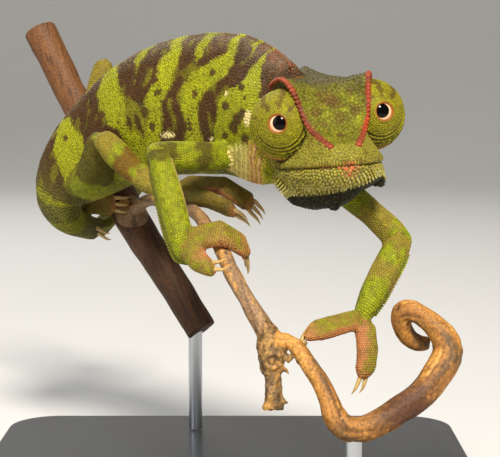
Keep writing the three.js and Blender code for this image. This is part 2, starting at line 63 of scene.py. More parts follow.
# %% Colour, node, modifier and measuring tools
def linear(hex_code):
    """An sRGB hex colour as linear red, green, blue and alpha."""
    parts = [int(hex_code[i:i + 2], 16) / 255 for i in (1, 3, 5)]
    return [c / 12.92 if c <= 0.04045 else ((c + 0.055) / 1.055) ** 2.4 for c in parts] + [1.0]


def add_node(tree, kind, inputs=None, **settings):
    """Adds a node. inputs maps its sockets to values or to the sockets that feed them."""
    made = tree.nodes.new(kind)
    for name, value in settings.items():
        setattr(made, name, value)
    for name, value in (inputs or {}).items():
        if isinstance(value, bpy.types.NodeSocket):
            tree.links.new(value, made.inputs[name])
        else:
            made.inputs[name].default_value = value
    return made


def new_material(name, **shader):
    """A material with a Principled shader, whose sockets are set by name (spaces as _)."""
    made = bpy.data.materials.new(name)
    made.use_nodes = True
    principled = made.node_tree.nodes["Principled BSDF"]
    for socket, value in shader.items():
        principled.inputs[socket.replace("_", " ")].default_value = value
    return made, made.node_tree, principled


def pick(*objects):
    """Selects only these objects. The first is the active one."""
    bpy.ops.object.select_all(action="DESELECT")
    for piece in objects:
        piece.select_set(True)
    bpy.context.view_layer.objects.active = objects[0]


def modify(piece, kind, **settings):
    """Adds a modifier to a piece and applies it."""
    modifier = piece.modifiers.new(kind.lower(), kind)
    for name, value in settings.items():
        setattr(modifier, name, value)
    pick(piece)
    bpy.ops.object.modifier_apply(modifier=modifier.name)


def corners_of(piece):
    """A mesh's vertices in mm, as an array."""
    flat = np.empty(3 * len(piece.data.vertices))
    piece.data.vertices.foreach_get("co", flat)
    return flat.reshape(-1, 3) / MM


def move_corners(piece, corners):
    """Gives a mesh its vertices back, from mm."""
    piece.data.vertices.foreach_set("co", (corners * MM).ravel())
    piece.data.update()


def unit(vectors):
    """Vectors at length 1."""
    return vectors / np.maximum(np.linalg.norm(vectors, axis=-1, keepdims=True), 1e-9)


def smoothstep(values, low, high):
    """0 below low, 1 above high, and a soft step between them."""
    t = np.clip((values - low) / (high - low), 0, 1)
    return t * t * (3 - 2 * t)


def noise_at(points, size, seed=0):
    """Smooth noise from -1 to 1 at points in mm, in lumps of about that size."""
    shift = SEED_SHIFT * seed
    return np.array([noise.noise((x / size + shift, y / size, z / size)) for x, y, z in points])


def lengths_along(line):
    """How far along a line each of its points lies."""
    return np.concatenate([[0], np.cumsum(np.linalg.norm(np.diff(line, axis=0), axis=1))])


def points_at(line, lengths, at):
    """The points of a line that lie so far along it. lengths comes from lengths_along."""
    return np.stack([np.interp(at, lengths, line[:, i]) for i in range(3)], axis=-1)


def across_axis(axis):
    """Two directions at right angles to an axis, one to its right and one upwards."""
    right = unit(np.cross(axis, [0, 0, 1.0]))
    return right, np.cross(right, axis)


def long_axis(corners):
    """The middle of some corners, and the direction in which they reach furthest."""
    middle = corners.mean(0)
    return middle, np.linalg.svd(corners - middle, full_matrices=False)[2][0]


def middle_of(name):
    """The middle of a solid's box, in mm."""
    return np.array(sum(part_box(name), Vector())) / 2 / MM


# %% [markdown]
# ## Camera, floor and light
# The model is seen from a little above its head, from about 30 cm, as a collector would look at it.
# The floor runs up into a backdrop in one sweep, so that no horizon line shows. Light comes from
# one large soft source high in front, a fill and a low rim light, which suit a matt, knobbly skin.

# %% Camera
EYE_LEVEL = 6.0          # degrees by which the camera looks down
VIEW_DISTANCE = 300.0    # mm from the camera to the head
VIEW_CENTRE = np.array([5.0, -33.0, 64.0])
LENS, SENSOR = 108, 36   # mm

tilt = math.radians(EYE_LEVEL)
camera_data = bpy.data.cameras.new("camera")
camera_data.lens = LENS
camera_data.sensor_width = SENSOR
camera_data.clip_start = 0.01
camera = bpy.data.objects.new("camera", camera_data)
camera.location = Vector(VIEW_CENTRE + VIEW_DISTANCE * np.array([0, -math.cos(tilt), math.sin(tilt)])) * MM
camera.rotation_euler = (math.pi / 2 - tilt, 0, 0)
bpy.context.scene.collection.objects.link(camera)
bpy.context.scene.camera = camera
bpy.context.scene.view_settings.view_transform = "Standard"
print("camera at", [round(c / MM, 1) for c in camera.location], "mm")

# %% Floor and backdrop
FLOOR_SIZE, BACKDROP_HEIGHT, SWEEP = 3.2, 2.2, 0.7      # m

pick(camera)
bpy.ops.mesh.primitive_plane_add(size=FLOOR_SIZE, location=(0, 0, 0))
floor = bpy.context.object
floor.name = "floor"
bpy.ops.object.mode_set(mode="EDIT")
bpy.ops.mesh.select_mode(type="EDGE")
bpy.ops.mesh.select_all(action="DESELECT")
bpy.ops.object.mode_set(mode="OBJECT")
for edge in floor.data.edges:
    ends = [floor.data.vertices[i].co for i in edge.vertices]
    edge.select = all(end.y > 1 for end in ends)
bpy.ops.object.mode_set(mode="EDIT")
bpy.ops.mesh.extrude_region_move(TRANSFORM_OT_translate={"value": (0, 0, BACKDROP_HEIGHT)})
bpy.ops.object.mode_set(mode="OBJECT")
for edge in floor.data.edges:
    ends = [floor.data.vertices[i].co for i in edge.vertices]
    edge.select = all(end.y > 1 and end.z < 1 for end in ends)
bpy.ops.object.mode_set(mode="EDIT")
bpy.ops.mesh.bevel(offset=SWEEP, segments=24, affect="EDGES")
bpy.ops.object.mode_set(mode="OBJECT")
bpy.ops.object.shade_smooth()
paper, _, _ = new_material("Matt backdrop paper", Base_Color=linear("#d9d7d2"), Roughness=0.9)
floor.data.materials.append(paper)
print("floor:", len(floor.data.polygons), "faces")


# %% Lights
LIT_POINT = (0, 0, 70)   # mm, what every lamp faces
WORLD_STRENGTH = 0.26


def area_light(name, place, watts, size, colour="#ffffff"):
    """A round soft light at place, in mm, that faces the model."""
    data = bpy.data.lights.new(name, "AREA")
    data.shape = "DISK"
    data.energy = watts
    data.size = size
    data.color = linear(colour)[:3]
    lamp = bpy.data.objects.new(name, data)
    lamp.location = Vector(place) * MM
    aim = Vector(LIT_POINT) * MM - lamp.location
    lamp.rotation_euler = aim.to_track_quat("-Z", "Y").to_euler()
    bpy.context.scene.collection.objects.link(lamp)


area_light("key", (120, -620, 700), 13, 0.22, "#fffaf2")
area_light("fill", (-620, -420, 380), 2.2, 0.7, "#eef3ff")
area_light("rim", (-260, 620, 620), 2.5, 0.4)
world = bpy.data.worlds.new("studio")
world.use_nodes = True
world.node_tree.nodes["Background"].inputs["Color"].default_value = linear("#e8eaec")
world.node_tree.nodes["Background"].inputs["Strength"].default_value = WORLD_STRENGTH
bpy.context.scene.world = world

# %% [markdown]
# ## The animal's own directions
# Patterns and rows of scales follow the body, not the room. So two sets of directions are laid down
# first. The head has axes of its own: x across, y back from the nose and z up. The body is measured
# along its spine: a station number from the nape to the tail's tip, a height from belly (-1) to
# ridge (1), and a side. The stations are the same ones that the solids were drawn from.

# %% Head axes
HEAD_CENTRE = np.array([20.8, -24.9, 86.0])
HEAD_YAW, HEAD_PITCH, HEAD_ROLL = 10, -3, -4


def turn(axis, degrees):
    """The matrix that turns by degrees about x, y or z."""
    return np.array(Matrix.Rotation(math.radians(degrees), 3, axis.upper()))


HEAD_AXES = turn("z", HEAD_YAW) @ turn("x", HEAD_PITCH) @ turn("y", HEAD_ROLL)


def to_head(points):
    """Points in mm in the head's own axes."""
    return (points - HEAD_CENTRE) @ HEAD_AXES


def from_head(points):
    """Points in the head's axes back in the model's."""
    return np.asarray(points) @ HEAD_AXES.T + HEAD_CENTRE


TURRET_APART, TURRET_RADIUS = 8.7, 7.4
TURRET_DROP = {"right": 0.9, "left": 0.1}
SIDES = {"right": -1, "left": 1}
TURRET_CENTRE = {side: from_head([sign * TURRET_APART, 0, -TURRET_DROP[side]])
                 for side, sign in SIDES.items()}
GAZE = {side: unit(np.array(look) @ HEAD_AXES.T) for side, look in {
    "right": (-0.41, -0.91, 0.04), "left": (0.17, -0.98, 0.04)}.items()}
print("turret centres:", {side: c.round(1).tolist() for side, c in TURRET_CENTRE.items()})

# %% Spine
# Each row: x, y, z of the spine, then half the width and half the height of the body there.
SPINE = np.array([
    [13.7, -20.9, 83.9, 7.4, 11.9], [8.4, -8.7, 85.5, 7.2, 14.9], [1.7, 3.6, 87.7, 7.2, 15.7],
    [-9.3, 14.7, 87.3, 8.0, 15.8], [-20.4, 24.5, 84.3, 8.2, 14.9], [-30.3, 30.9, 78.2, 7.8, 12.9],
    [-38.3, 35.2, 71.0, 6.8, 10.4], [-41.7, 36.4, 64.5, 5.4, 7.5], [-40.8, 37.4, 60.1, 4.1, 4.8],
    [-37.6, 42.4, 57.2, 3.2, 3.5], [-33.0, 52.6, 55.7, 2.5, 2.7],
])
COIL_CENTRE, COIL_OUTER, COIL_INNER, COIL_TURNS = np.array([-28.7, 64, 77.8]), 11.6, 5.4, 1.6
COIL_FROM, COIL_LEAN, COIL_STEPS = -62, 3, 14
TAIL_THICK, TIP_THICK = 2.1, 0.75        # mm, the tail's radius where the coil starts and at its tip
ACROSS_BODY = unit(np.array([-0.66, -0.75, 0]))


def coil_rows():
    """The tail's flat spiral, in rows like the spine's."""
    done = np.arange(COIL_STEPS + 1) / COIL_STEPS
    angle = np.radians(COIL_FROM) + 2 * np.pi * COIL_TURNS * done
    radius = COIL_OUTER + (COIL_INNER - COIL_OUTER) * done
    thick = TAIL_THICK + (TIP_THICK - TAIL_THICK) * done
    x, y, z = COIL_CENTRE
    return np.stack([x + radius * np.cos(angle), y - COIL_LEAN * done, z + radius * np.sin(angle),
                     thick, thick], axis=1)


def curve_through(rows, steps):
    """A smooth Catmull-Rom curve through rows of numbers, with so many steps between two rows."""
    ends = np.vstack([2 * rows[0] - rows[1], rows, 2 * rows[-1] - rows[-2]])
    at = np.linspace(0, len(rows) - 1, (len(rows) - 1) * steps + 1)
    first = np.minimum(at.astype(int), len(rows) - 2)
    t = (at - first)[:, None]
    p0, p1, p2, p3 = (ends[first + i] for i in range(4))
    return at, 0.5 * (2 * p1 + (p2 - p0) * t + (2 * p0 - 5 * p1 + 4 * p2 - p3) * t ** 2
                      + (3 * p1 - p0 - 3 * p2 + p3) * t ** 3)


STATION, LINE = curve_through(np.vstack([SPINE, coil_rows()]), 24)
AT_ONCE = 4000           # points that are measured together, to save memory
FORWARD = unit(np.gradient(LINE[:, :3], axis=0))
ACROSS = unit(ACROSS_BODY - FORWARD * (FORWARD @ ACROSS_BODY)[:, None])
UPWARD = np.cross(ACROSS, FORWARD)
UPWARD *= np.sign(UPWARD[0, 2])
for i in range(1, len(UPWARD)):
    UPWARD[i] *= np.sign(UPWARD[i] @ UPWARD[i - 1])


def body_place(points):
    """For points in mm: the station along the spine, the height from -1 to 1, and the side."""
    nearest = np.empty(len(points), int)
    for start in range(0, len(points), AT_ONCE):
        gaps = points[start:start + AT_ONCE, None, :] - LINE[None, :, :3]
        nearest[start:start + AT_ONCE] = (gaps ** 2).sum(2).argmin(1)
    away = points - LINE[nearest, :3]
    height = (away * UPWARD[nearest]).sum(1) / LINE[nearest, 4]
    side = (away * ACROSS[nearest]).sum(1) / LINE[nearest, 3]
    return STATION[nearest], height, side


print("spine samples:", len(LINE), "length in mm:", round(lengths_along(LINE[:, :3])[-1]))

# %% [markdown]
# ## One skin
# A real chameleon has one skin with no seams. The solids are parted by thin gaps, so copies of them
# are swollen until they overlap, joined, and rebuilt as one closed surface by a voxel remesh, the way
# a sculptor merges clay. Smoothing then takes out the facets, most where the forms are broad.

# %% Join the flesh
FLESH = sorted(n for n in NODES if not n.startswith(("stand", "perch", "eye")) and "_claw_" not in n)
TURRETS = {side: f"eye_turret_{side}" for side in SIDES}
SWELL = 0.24             # mm, closes the gaps between the solids
COAT = 0.12              # mm, how far the skin lies inside the tips of its scales
SKIN_VOXEL = 0.42        # mm


def copies_as_one(names, title, swell):
    """Copies of the named solids as one mesh with shared corners, moved outwards by swell."""
    twins = []
    for name in names:
        twin = bpy.data.objects.new(name + "_copy", NODES[name].data.copy())
        bpy.context.scene.collection.objects.link(twin)
        twins.append(twin)
    pick(*twins)
    bpy.ops.object.join()
    made = bpy.context.object
    made.name = title
    made.data.materials.clear()
    bpy.ops.object.mode_set(mode="EDIT")
    bpy.ops.mesh.select_all(action="SELECT")
    bpy.ops.mesh.remove_doubles(threshold=1e-6)
    bpy.ops.object.mode_set(mode="OBJECT")
    bpy.ops.object.shade_smooth()
    modify(made, "DISPLACE", strength=swell * MM, mid_level=0)
    return made


skin = copies_as_one(FLESH, "skin", SWELL)
modify(skin, "REMESH", mode="VOXEL", voxel_size=SKIN_VOXEL * MM)
print("skin:", len(skin.data.vertices), "vertices")

# %% Which part of the body a point belongs to
def tree_over(names):
    """A search tree over some solids, and the name of the solid that each of its faces is on."""
    corners, faces, owner = [], [], []
    for name in names:
        mesh = NODES[name].data
        first = len(corners)
        corners += [v.co.copy() for v in mesh.vertices]
        faces += [[first + i for i in p.vertices] for p in mesh.polygons]
        owner += [name] * len(mesh.polygons)
    return BVHTree.FromPolygons(corners, faces), np.array(owner)


part_tree, part_names = tree_over(FLESH + list(TURRETS.values()))


def part_of(points):
    """The solid nearest to each point."""
    return part_names[[part_tree.find_nearest(Vector(p * MM))[2] for p in points]]


corners = corners_of(skin)
part = part_of(corners)
BROAD = ("trunk", "neck", "tail_base", "leg_upper", "leg_lower", "throat")
broad = skin.vertex_groups.new(name="broad")
broad.add(np.flatnonzero([p.endswith(BROAD) for p in part]).tolist(), 1.0, "REPLACE")
modify(skin, "SMOOTH", factor=0.5, iterations=7)
modify(skin, "SMOOTH", factor=0.5, iterations=46, vertex_group="broad")
CLAW_NAMES = sorted(n for n in NODES if "_claw_" in n)
CLAW_MIDDLES = np.array([sum(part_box(n), Vector()) / 2 / MM for n in CLAW_NAMES])
TOE_SWELL = 0.14         # mm, gives back what smoothing takes from the toes


def near_claws(points, reach):
    """1 right beside a claw, 0 further away than reach (mm)."""
    away = np.linalg.norm(points[:, None, :] - CLAW_MIDDLES[None], axis=2).min(1)
    return 1 - smoothstep(away, 0.5 * reach, reach)


toes = skin.vertex_groups.new(name="toes")
toes.add(np.flatnonzero(["_toes_" in p for p in part]).tolist(), 1.0, "REPLACE")
tips = skin.vertex_groups.new(name="tips")
tips.add(np.flatnonzero(near_claws(corners_of(skin), 4.5) > 0.3).tolist(), 1.0, "REPLACE")
modify(skin, "SMOOTH", factor=0.5, iterations=12, vertex_group="toes")
modify(skin, "SMOOTH", factor=0.5, iterations=26, vertex_group="tips")
modify(skin, "DISPLACE", strength=TOE_SWELL * MM, mid_level=0, vertex_group="toes")
print("parts on the skin:", len(set(part)))

# %% [markdown]
# ## The head's form
# The eye turrets are near-spheres of skin that turn with the eye, and their wrinkles run in rings
# round the opening. A sphere whose pole looks along the gaze has its rings in just those places, so
# each turret is made from one and sinks into the socket. The mouth line, the nostrils and the folds
# behind the jaw are pressed into the skin by moving its vertices along their normals.

# %% Press the mouth and the folds in
MOUTH_HEIGHT = -9.9      # mm below the eyes' middle
MOUTH_BACK = 5.5         # mm behind the eyes, where it ends
NOSTRIL = np.array([3.6, -12.2, -7.4])


def normals_of(piece):
    """A mesh's vertex normals as an array."""
    flat = np.empty(3 * len(piece.data.vertices))
    piece.data.vertex_normals.foreach_get("vector", flat)
    return flat.reshape(-1, 3)


corners, normals, part = corners_of(skin), normals_of(skin), part_of(corners_of(skin))
local = to_head(corners)
on_head = np.isin(part, ["head", "lower_jaw", "throat"])
x, y, z = local.T
mouth_line = MOUTH_HEIGHT + 0.02 * np.maximum(0, y + 2) ** 2
mouth = on_head * np.exp(-((z - mouth_line) / 0.22) ** 2)
mouth = mouth * (1 - smoothstep(y, MOUTH_BACK - 2, MOUTH_BACK))
lip = on_head * np.exp(-((z - mouth_line - 1.1) / 0.6) ** 2) * (y < MOUTH_BACK)
folded = np.stack([np.abs(x), y, z], axis=1)
nostril = on_head * np.exp(-(np.linalg.norm(folded - NOSTRIL, axis=1) / 0.5) ** 2)
gular_fold = (part == "throat") * np.maximum(0, np.sin(y * 2.4 + 0.5 * np.abs(x))) ** 3
push = -0.6 * mouth + 0.1 * lip - 0.6 * nostril - 0.12 * gular_fold
push -= COAT
push += 0.1 * noise_at(corners, 2.2) * np.isin(part, ["trunk", "neck", "throat"])
move_corners(skin, corners + normals * push[:, None])
# Fewer triangles where the skin is flat, and none lost in its grooves.
modify(skin, "DECIMATE", ratio=0.64, use_collapse_triangulate=True)
print("pressed in:", int((mouth > 0.5).sum()), "vertices of the mouth line")

# %% Eye turrets
LID_OPENING = 1.85       # mm, radius of the opening
LID_RISE = 0.8           # how far the lids rise to it
RIM_ANGLE = 0.27         # the bare rim of the opening reaches this far from the gaze, in radians
EYE_RADIUS, EYE_DEPTH = 3.2, 0.35
FOLD_SPACING = 0.95      # mm between the wrinkles of the lids
MOUTH_SHARE = 0.06       # share of a turret's rings that lie inside its opening
INSIDE_RADIUS = 5.9      # mm from a turret's middle to the rings inside its opening


def turret_profile(theta, up):
    """The turret's radius at an angle from the gaze. up is 1 above the eye and -1 below."""
    rise = LID_RISE * np.exp(-(theta / 0.42) ** 2)
    low = smoothstep(-up, -0.35, 0.55) * smoothstep(theta, 0.55, 0.85)
    fold = np.sin(2 * np.pi * theta * TURRET_RADIUS / FOLD_SPACING)
    return TURRET_RADIUS - COAT + rise + 0.19 * low * fold - 0.04 * (1 - low) * (fold > 0.6)


def make_turret(side):
    """A sphere of rings round the gaze, with its mouth drawn in to the eyeball."""
    gaze = GAZE[side]
    pick(skin)
    bpy.ops.mesh.primitive_uv_sphere_add(segments=96, ring_count=84, radius=MM)
    turret = bpy.context.object
    points = corners_of(turret)
    opening = math.asin(LID_OPENING / (TURRET_RADIUS + LID_RISE))
    ring = np.arccos(np.clip(points[:, 2], -1, 1)) / math.pi
    spin = np.arctan2(points[:, 1], points[:, 0])
    beyond = (ring - MOUTH_SHARE) / (1 - MOUTH_SHARE)
    theta = np.where(ring < MOUTH_SHARE, ring / MOUTH_SHARE * opening, opening + beyond * (math.pi - opening))
    right, above = across_axis(gaze)
    radius = turret_profile(theta, np.sin(spin))
    radius = np.where(theta < opening - 0.01, INSIDE_RADIUS, radius)
    rim = np.exp(-((theta - opening - 0.035) / 0.035) ** 2) * (theta >= opening - 0.01)
    radius = radius + 0.16 * rim
    around = np.cos(spin)[:, None] * right + np.sin(spin)[:, None] * above
    out = np.cos(theta)[:, None] * gaze + np.sin(theta)[:, None] * around
    move_corners(turret, TURRET_CENTRE[side] + radius[:, None] * out)
    pick(turret)
    bpy.ops.object.mode_set(mode="EDIT")
    bpy.ops.mesh.select_all(action="SELECT")
    bpy.ops.mesh.normals_make_consistent(inside=False)
    bpy.ops.object.mode_set(mode="OBJECT")
    return turret


turrets = [make_turret(side) for side in SIDES]
pick(skin, *turrets)
bpy.ops.object.join()
bpy.ops.object.shade_smooth()


def triangles_of(piece):
    """A mesh's faces cut into triangles, in an order that is the same on every run."""
    found = []
    for face in piece.data.polygons:
        ring = list(face.vertices)
        first = ring.index(min(ring))
        ring = ring[first:] + ring[:first]
        found += [(ring[0], ring[k], ring[k + 1]) for k in range(1, len(ring) - 1)]
    return np.array(sorted(found))


# A sphere's faces come in no fixed order, so the tree that the scales stand on gets its own.
skin_triangles = triangles_of(skin)
skin_tree = BVHTree.FromPolygons([Vector(c * MM) for c in corners_of(skin)], skin_triangles.tolist())
print("skin with turrets:", len(skin_triangles), "triangles")

# %% [markdown]
# ## Markings
# On the animal the colours sit in the skin and its scales alike, so one function gives the colour at
# any point, and both the skin and the scales ask it. The flanks are brown with slanting yellow-green
# bands, each of which is a few places along the body at set heights. Feet, head and lids have their
# own palettes. Ragged edges come from noise that is added before a mask is cut.

# %% Palette
PALETTE = {name: np.array(linear(code)[:3]) for name, code in {
    "band": "#93930f", "ground": "#4a2f0e", "ridge": "#6a563c", "belly": "#80801e", "spot": "#3d2c0e",
    "cream": "#e6cf8a", "rust": "#8a3e1c", "limb": "#8a900e", "limb_dark": "#4c3c10", "patch": "#6a3c0e",
    # fold is a painted shade colour: it darkens creases, the mouth's groove, the sockets under the turrets
    # and the hind feet.
    "toe": "#8c762a", "sole": "#b87448", "lid": "#877e10", "fleck": "#5a4012", "fold": "#2e2210",
    "blush": "#ad663c", "forehead": "#64600a", "rosette": "#573e10", "cheek": "#867d26",
    # throat is a near-black painted shadow: the shade under the chin, not the throat's own colour.
    "casque": "#43391c", "bead": "#b6ad66", "throat": "#0a0803", "tail": "#6b6a22", "crest": "#8e4024",
    "ember": "#b8441c",
}.items()}


def layer(colours, name, mask):
    """Lays a colour of the palette over others, as much as mask says."""
    mask = np.clip(mask, 0, 1)[:, None]
    return colours * (1 - mask) + PALETTE[name] * mask


def spot(places, centre, radius):
    """1 inside a round or oval spot, 0 outside, with a soft edge."""
    away = np.sqrt((((places - centre) / radius) ** 2).sum(1))
    return 1 - smoothstep(away, 0.7, 1.15)


# %% Bands of the trunk and tail
# Each green band: heights from belly (-1) to ridge (1), then the stations of its rear and front
# edges at those heights, and how strong it is.
BANDS = [
    ([-1.0, -0.73, -0.48, -0.34, -0.12, 0.1, 0.26, 0.42, 0.5, 0.65, 0.78, 0.95],
     [1.4, 1.5, 1.88, 1.83, 1.71, 1.71, 1.5, 1.12, 1.08, 1.08, 1.0, 1.0],
     [0.0, 0.0, 0.0, 0.0, 0.0, 0.0, 0.0, 0.3, 0.33, 0.58, 0.75, 0.95], 1.0),
    ([0.8, 0.86, 0.9, 0.94, 1.0], [1.3, 1.42, 1.5, 1.58, 1.6], [1.36, 1.33, 1.4, 1.46, 1.46], 1.0),
    ([-1.0, -0.48, -0.28, -0.07, 0.14, 0.29, 0.37, 0.46, 0.52, 0.6, 0.67, 0.74, 0.85, 0.98],
     [2.8, 2.67, 2.56, 2.67, 2.67, 2.62, 2.54, 2.44, 2.33, 2.2, 2.06, 1.92, 2.0, 2.0],
     [2.3, 2.25, 2.3, 2.28, 2.2, 1.96, 1.79, 1.64, 1.68, 1.64, 1.67, 1.71, 1.79, 1.88], 1.0),
    ([0.5, 0.6, 0.68, 0.84, 1.0], [2.4, 2.5, 2.5, 2.54, 2.54], [2.5, 2.46, 2.38, 2.38, 2.38], 0.9),
    ([-1.0, -0.43, -0.33, -0.15, 0.03, 0.15, 0.23, 0.32, 0.4, 0.55, 0.7, 0.82, 0.98],
     [3.7, 3.54, 3.46, 3.38, 3.42, 3.36, 3.33, 3.25, 3.12, 3.17, 3.17, 3.04, 3.17],
     [3.3, 3.2, 3.08, 3.04, 3.04, 2.95, 2.88, 2.84, 2.83, 2.81, 2.79, 2.81, 2.9], 1.0),
    ([0.62, 0.7, 0.8, 0.9, 1.0], [3.58, 3.63, 3.7, 3.72, 3.74], [3.6, 3.56, 3.53, 3.5, 3.48], 0.9),
    ([-1.0, -0.5, -0.4, -0.17, -0.03, 0.17, 0.3, 0.49, 0.6, 0.7, 0.8, 0.98],
     [4.5, 4.0, 4.05, 4.15, 4.33, 4.33, 4.42, 4.42, 4.46, 4.4, 4.38, 4.36],
     [3.3, 3.5, 3.52, 3.83, 3.8, 3.78, 3.8, 3.9, 3.95, 4.0, 4.05, 4.1], 1.0),
    ([-0.7, -0.4, -0.3, -0.1, 0.1, 0.25],
     [3.8, 3.85, 3.85, 3.85, 3.85, 3.6],
     [3.2, 3.3, 3.4, 3.4, 3.5, 3.7], 0.55),
    ([-1.0, -0.4, -0.16, 0.11, 0.25, 0.37, 0.52, 0.7, 0.85, 1.0],
     [6.2, 6.0, 5.9, 5.85, 5.85, 5.8, 5.7, 5.6, 5.5, 5.4],
     [5.3, 5.1, 5.0, 4.96, 5.04, 5.08, 5.12, 5.25, 5.4, 5.5], 1.0),
    ([-1.0, -0.2, 0.3, 1.0], [7.45, 7.25, 7.05, 6.85], [6.95, 6.85, 6.8, 6.9], 1.0),
    ([-1.0, 0.0, 1.0], [8.75, 8.35, 8.0], [8.05, 7.85, 7.8], 1.0),
]
# Brown patches and ovals in the bands: station, height, then half its length and half its height.
OVALS = [
    (5.38, 0.32, 0.08, 0.08), (4.38, 0.19, 0.1, 0.07), (4.04, -0.04, 0.045, 0.035),
    (3.79, -0.14, 0.06, 0.12), (3.58, -0.15, 0.08, 0.14), (3.54, -0.32, 0.04, 0.08),
    (3.38, -0.03, 0.1, 0.08), (3.29, -0.26, 0.05, 0.07), (3.08, 0.21, 0.07, 0.055),
    (2.04, 0.45, 0.07, 0.045), (2.38, 0.15, 0.06, 0.07), (1.04, 0.39, 0.13, 0.05),
    (0.79, 0.29, 0.08, 0.035), (1.42, 0.05, 0.13, 0.07), (0.56, -0.31, 0.22, 0.11),
    (1.34, -0.36, 0.1, 0.06), (0.74, 0.07, 0.2, 0.08), (0.92, -0.05, 0.2, 0.09),
    (1.06, -0.19, 0.16, 0.1), (2.5, -0.3, 0.04, 0.13),
]
# The same for the cream spots.
CREAM_SPOTS = [
    (3.0, -0.41, 0.15, 0.045), (1.96, -0.47, 0.09, 0.035), (1.5, 0.21, 0.06, 0.035),
    (0.52, 0.03, 0.14, 0.14),
]


def socket_shadow(points, reach):
    """How dark the skin is close round the eye turrets, most below them."""
    shadow = np.zeros(len(points))
    for side in SIDES:
        gap = np.linalg.norm(points - TURRET_CENTRE[side], axis=1) - TURRET_RADIUS
        below = smoothstep(TURRET_CENTRE[side][2] - points[:, 2], -2.0, 3.0)
        shadow = np.maximum(shadow, (0.35 + 0.6 * below) * smoothstep(reach - gap, 0.0, 0.8))
    return shadow


# Strings of pale beads that hang from behind the eye to the throat: each a line over the skin, and
# how pink it is.
PLEATS = [
    ([[0.4, -6.1, 77.9], [0.4, -4.1, 75.4], [0.4, -1.8, 74.1]], 0.0),
    ([[1.3, -8.4, 78.2], [1.3, -5.9, 75.3], [1.3, -3.1, 73.7]], 0.0),
    ([[2.3, -10.9, 78.5], [2.3, -7.6, 74.8], [2.3, -3.2, 72.7]], 0.1),
    ([[3.3, -13.4, 78.9], [3.3, -9.5, 74.5], [3.3, -4.2, 72.1]], 0.1),
    ([[4.3, -15.6, 78.8], [4.3, -11.1, 74.1], [4.3, -5.5, 71.8]], 0.25),
    ([[5.2, -18.4, 79.8], [5.2, -13.0, 74.1], [5.2, -7.0, 71.6]], 0.75),
    ([[6.0, -19.7, 79.8], [6.1, -14.3, 73.9], [6.1, -8.0, 71.4]], 0.9),
    ([[7.0, -19.0, 76.9], [7.0, -14.9, 73.3], [7.0, -9.0, 71.2]], 0.8),
]
MIRROR = unit(np.array([-0.66, -0.75, 0.0]))        # across the neck


def both_sides(line):
    """A line over the skin and its mirror image on the far side of the neck."""
    line = np.array(line)
    return [line, line - 2 * ((line - LINE[20, :3]) @ MIRROR)[:, None] * MIRROR]


PLEAT_LINES = [(curve_through(half, 8)[1], pink) for line, pink in PLEATS for half in both_sides(line)]


def pleated(points):
    """How close each point is to a pleat (0 to 1), and how pink the nearest pleat is."""
    nearest, pink = np.full(len(points), 9.0), np.zeros(len(points))
    for line, shade in PLEAT_LINES:
        close = np.flatnonzero((np.abs(points - line.mean(0)) < 9).all(1))
        away = np.linalg.norm(points[close][:, None] - line[None], axis=2).min(1)
        pink[close] = np.where(away < nearest[close], shade, pink[close])
        nearest[close] = np.minimum(nearest[close], away)
    return smoothstep(-nearest, -2.0, -0.9), pink


def trunk_colours(points):
    """Colours of the neck, trunk and tail."""
    station, height, _ = body_place(points)
    rough = noise_at(points, 2.6, 1)
    fine = noise_at(points, 0.9, 2)
    colours = np.tile(PALETTE["ground"], (len(points), 1))
    colours = layer(colours, "ridge", smoothstep(height, 0.7, 1.0) * 0.8)
    colours = layer(colours, "spot", 0.35 * smoothstep(rough + 0.5 * fine, 0.1, 0.5))
    belly = smoothstep(-height, 0.55, 0.8) * (1 - smoothstep(station, 5.5, 7))
    colours = layer(colours, "belly", 0.85 * belly)
    rear = smoothstep(station, 5.6, 7.6)
    colours = layer(colours, "tail", 0.75 * rear)
    wobble = 0.06 * rough + 0.05 * fine
    green = np.zeros(len(points))
    for heights, rears, fronts, strength in BANDS:
        from_rear = np.interp(height, heights, rears) - station
        from_front = station - np.interp(height, heights, fronts)
        inside = np.minimum(from_rear, from_front)
        inside = np.minimum(inside, 1.5 * (height - heights[0] + 0.04)) + 0.6 * wobble
        green = np.maximum(green, strength * smoothstep(inside, -0.03, 0.05))
    olive = smoothstep(noise_at(points * [1, 1, 0.5], 2.2, 13), 0.12, 0.45)
    green = np.maximum(green, 0.38 * olive * smoothstep(station, 0.9, 1.6))
    coil_bands = smoothstep(np.sin(2 * np.pi * station / 1.9) + 0.4 * rough, 0.2, 0.7) * (station > 9)
    green = np.maximum(green, coil_bands)
    colours = layer(colours, "band", green * (1 - 0.45 * rear))
    shade = 1 + 0.22 * noise_at(points, 7.0, 14)
    colours *= shade[:, None]
    places = np.stack([station, height], axis=1)
    ragged = places + np.stack([0.03 * fine, 0.02 * rough], axis=1)
    for oval in OVALS:
        share = 0.92 * spot(ragged, oval[:2], oval[2:])
        colours = layer(colours, "spot", share)
        colours = layer(colours, "patch", 0.5 * share * smoothstep(fine, -0.2, 0.4))
    for oval in CREAM_SPOTS:
        colours = layer(colours, "cream", spot(places + 0.01 * fine[:, None], oval[:2], oval[2:]))
    colours = layer(colours, "fold", socket_shadow(points, 1.5) * smoothstep(-height, 0.1, 0.4))
    nape = smoothstep(height, 0.8, 0.95) * smoothstep(-station, -2.0, -0.8) * smoothstep(fine, -0.3, 0.3)
    return layer(colours, "rust", 0.38 * nape)


print("bands:", len(BANDS), "ovals:", len(OVALS))

# %% Legs and feet
TRUNK_MIDDLE = np.array([0.0, 10.0, 80.0])           # roughly, to tell a thigh's two ends apart
INNER_SIDE = unit(np.array([0.93, -0.36, 0.0]))      # the side of the near foreleg that faces the head
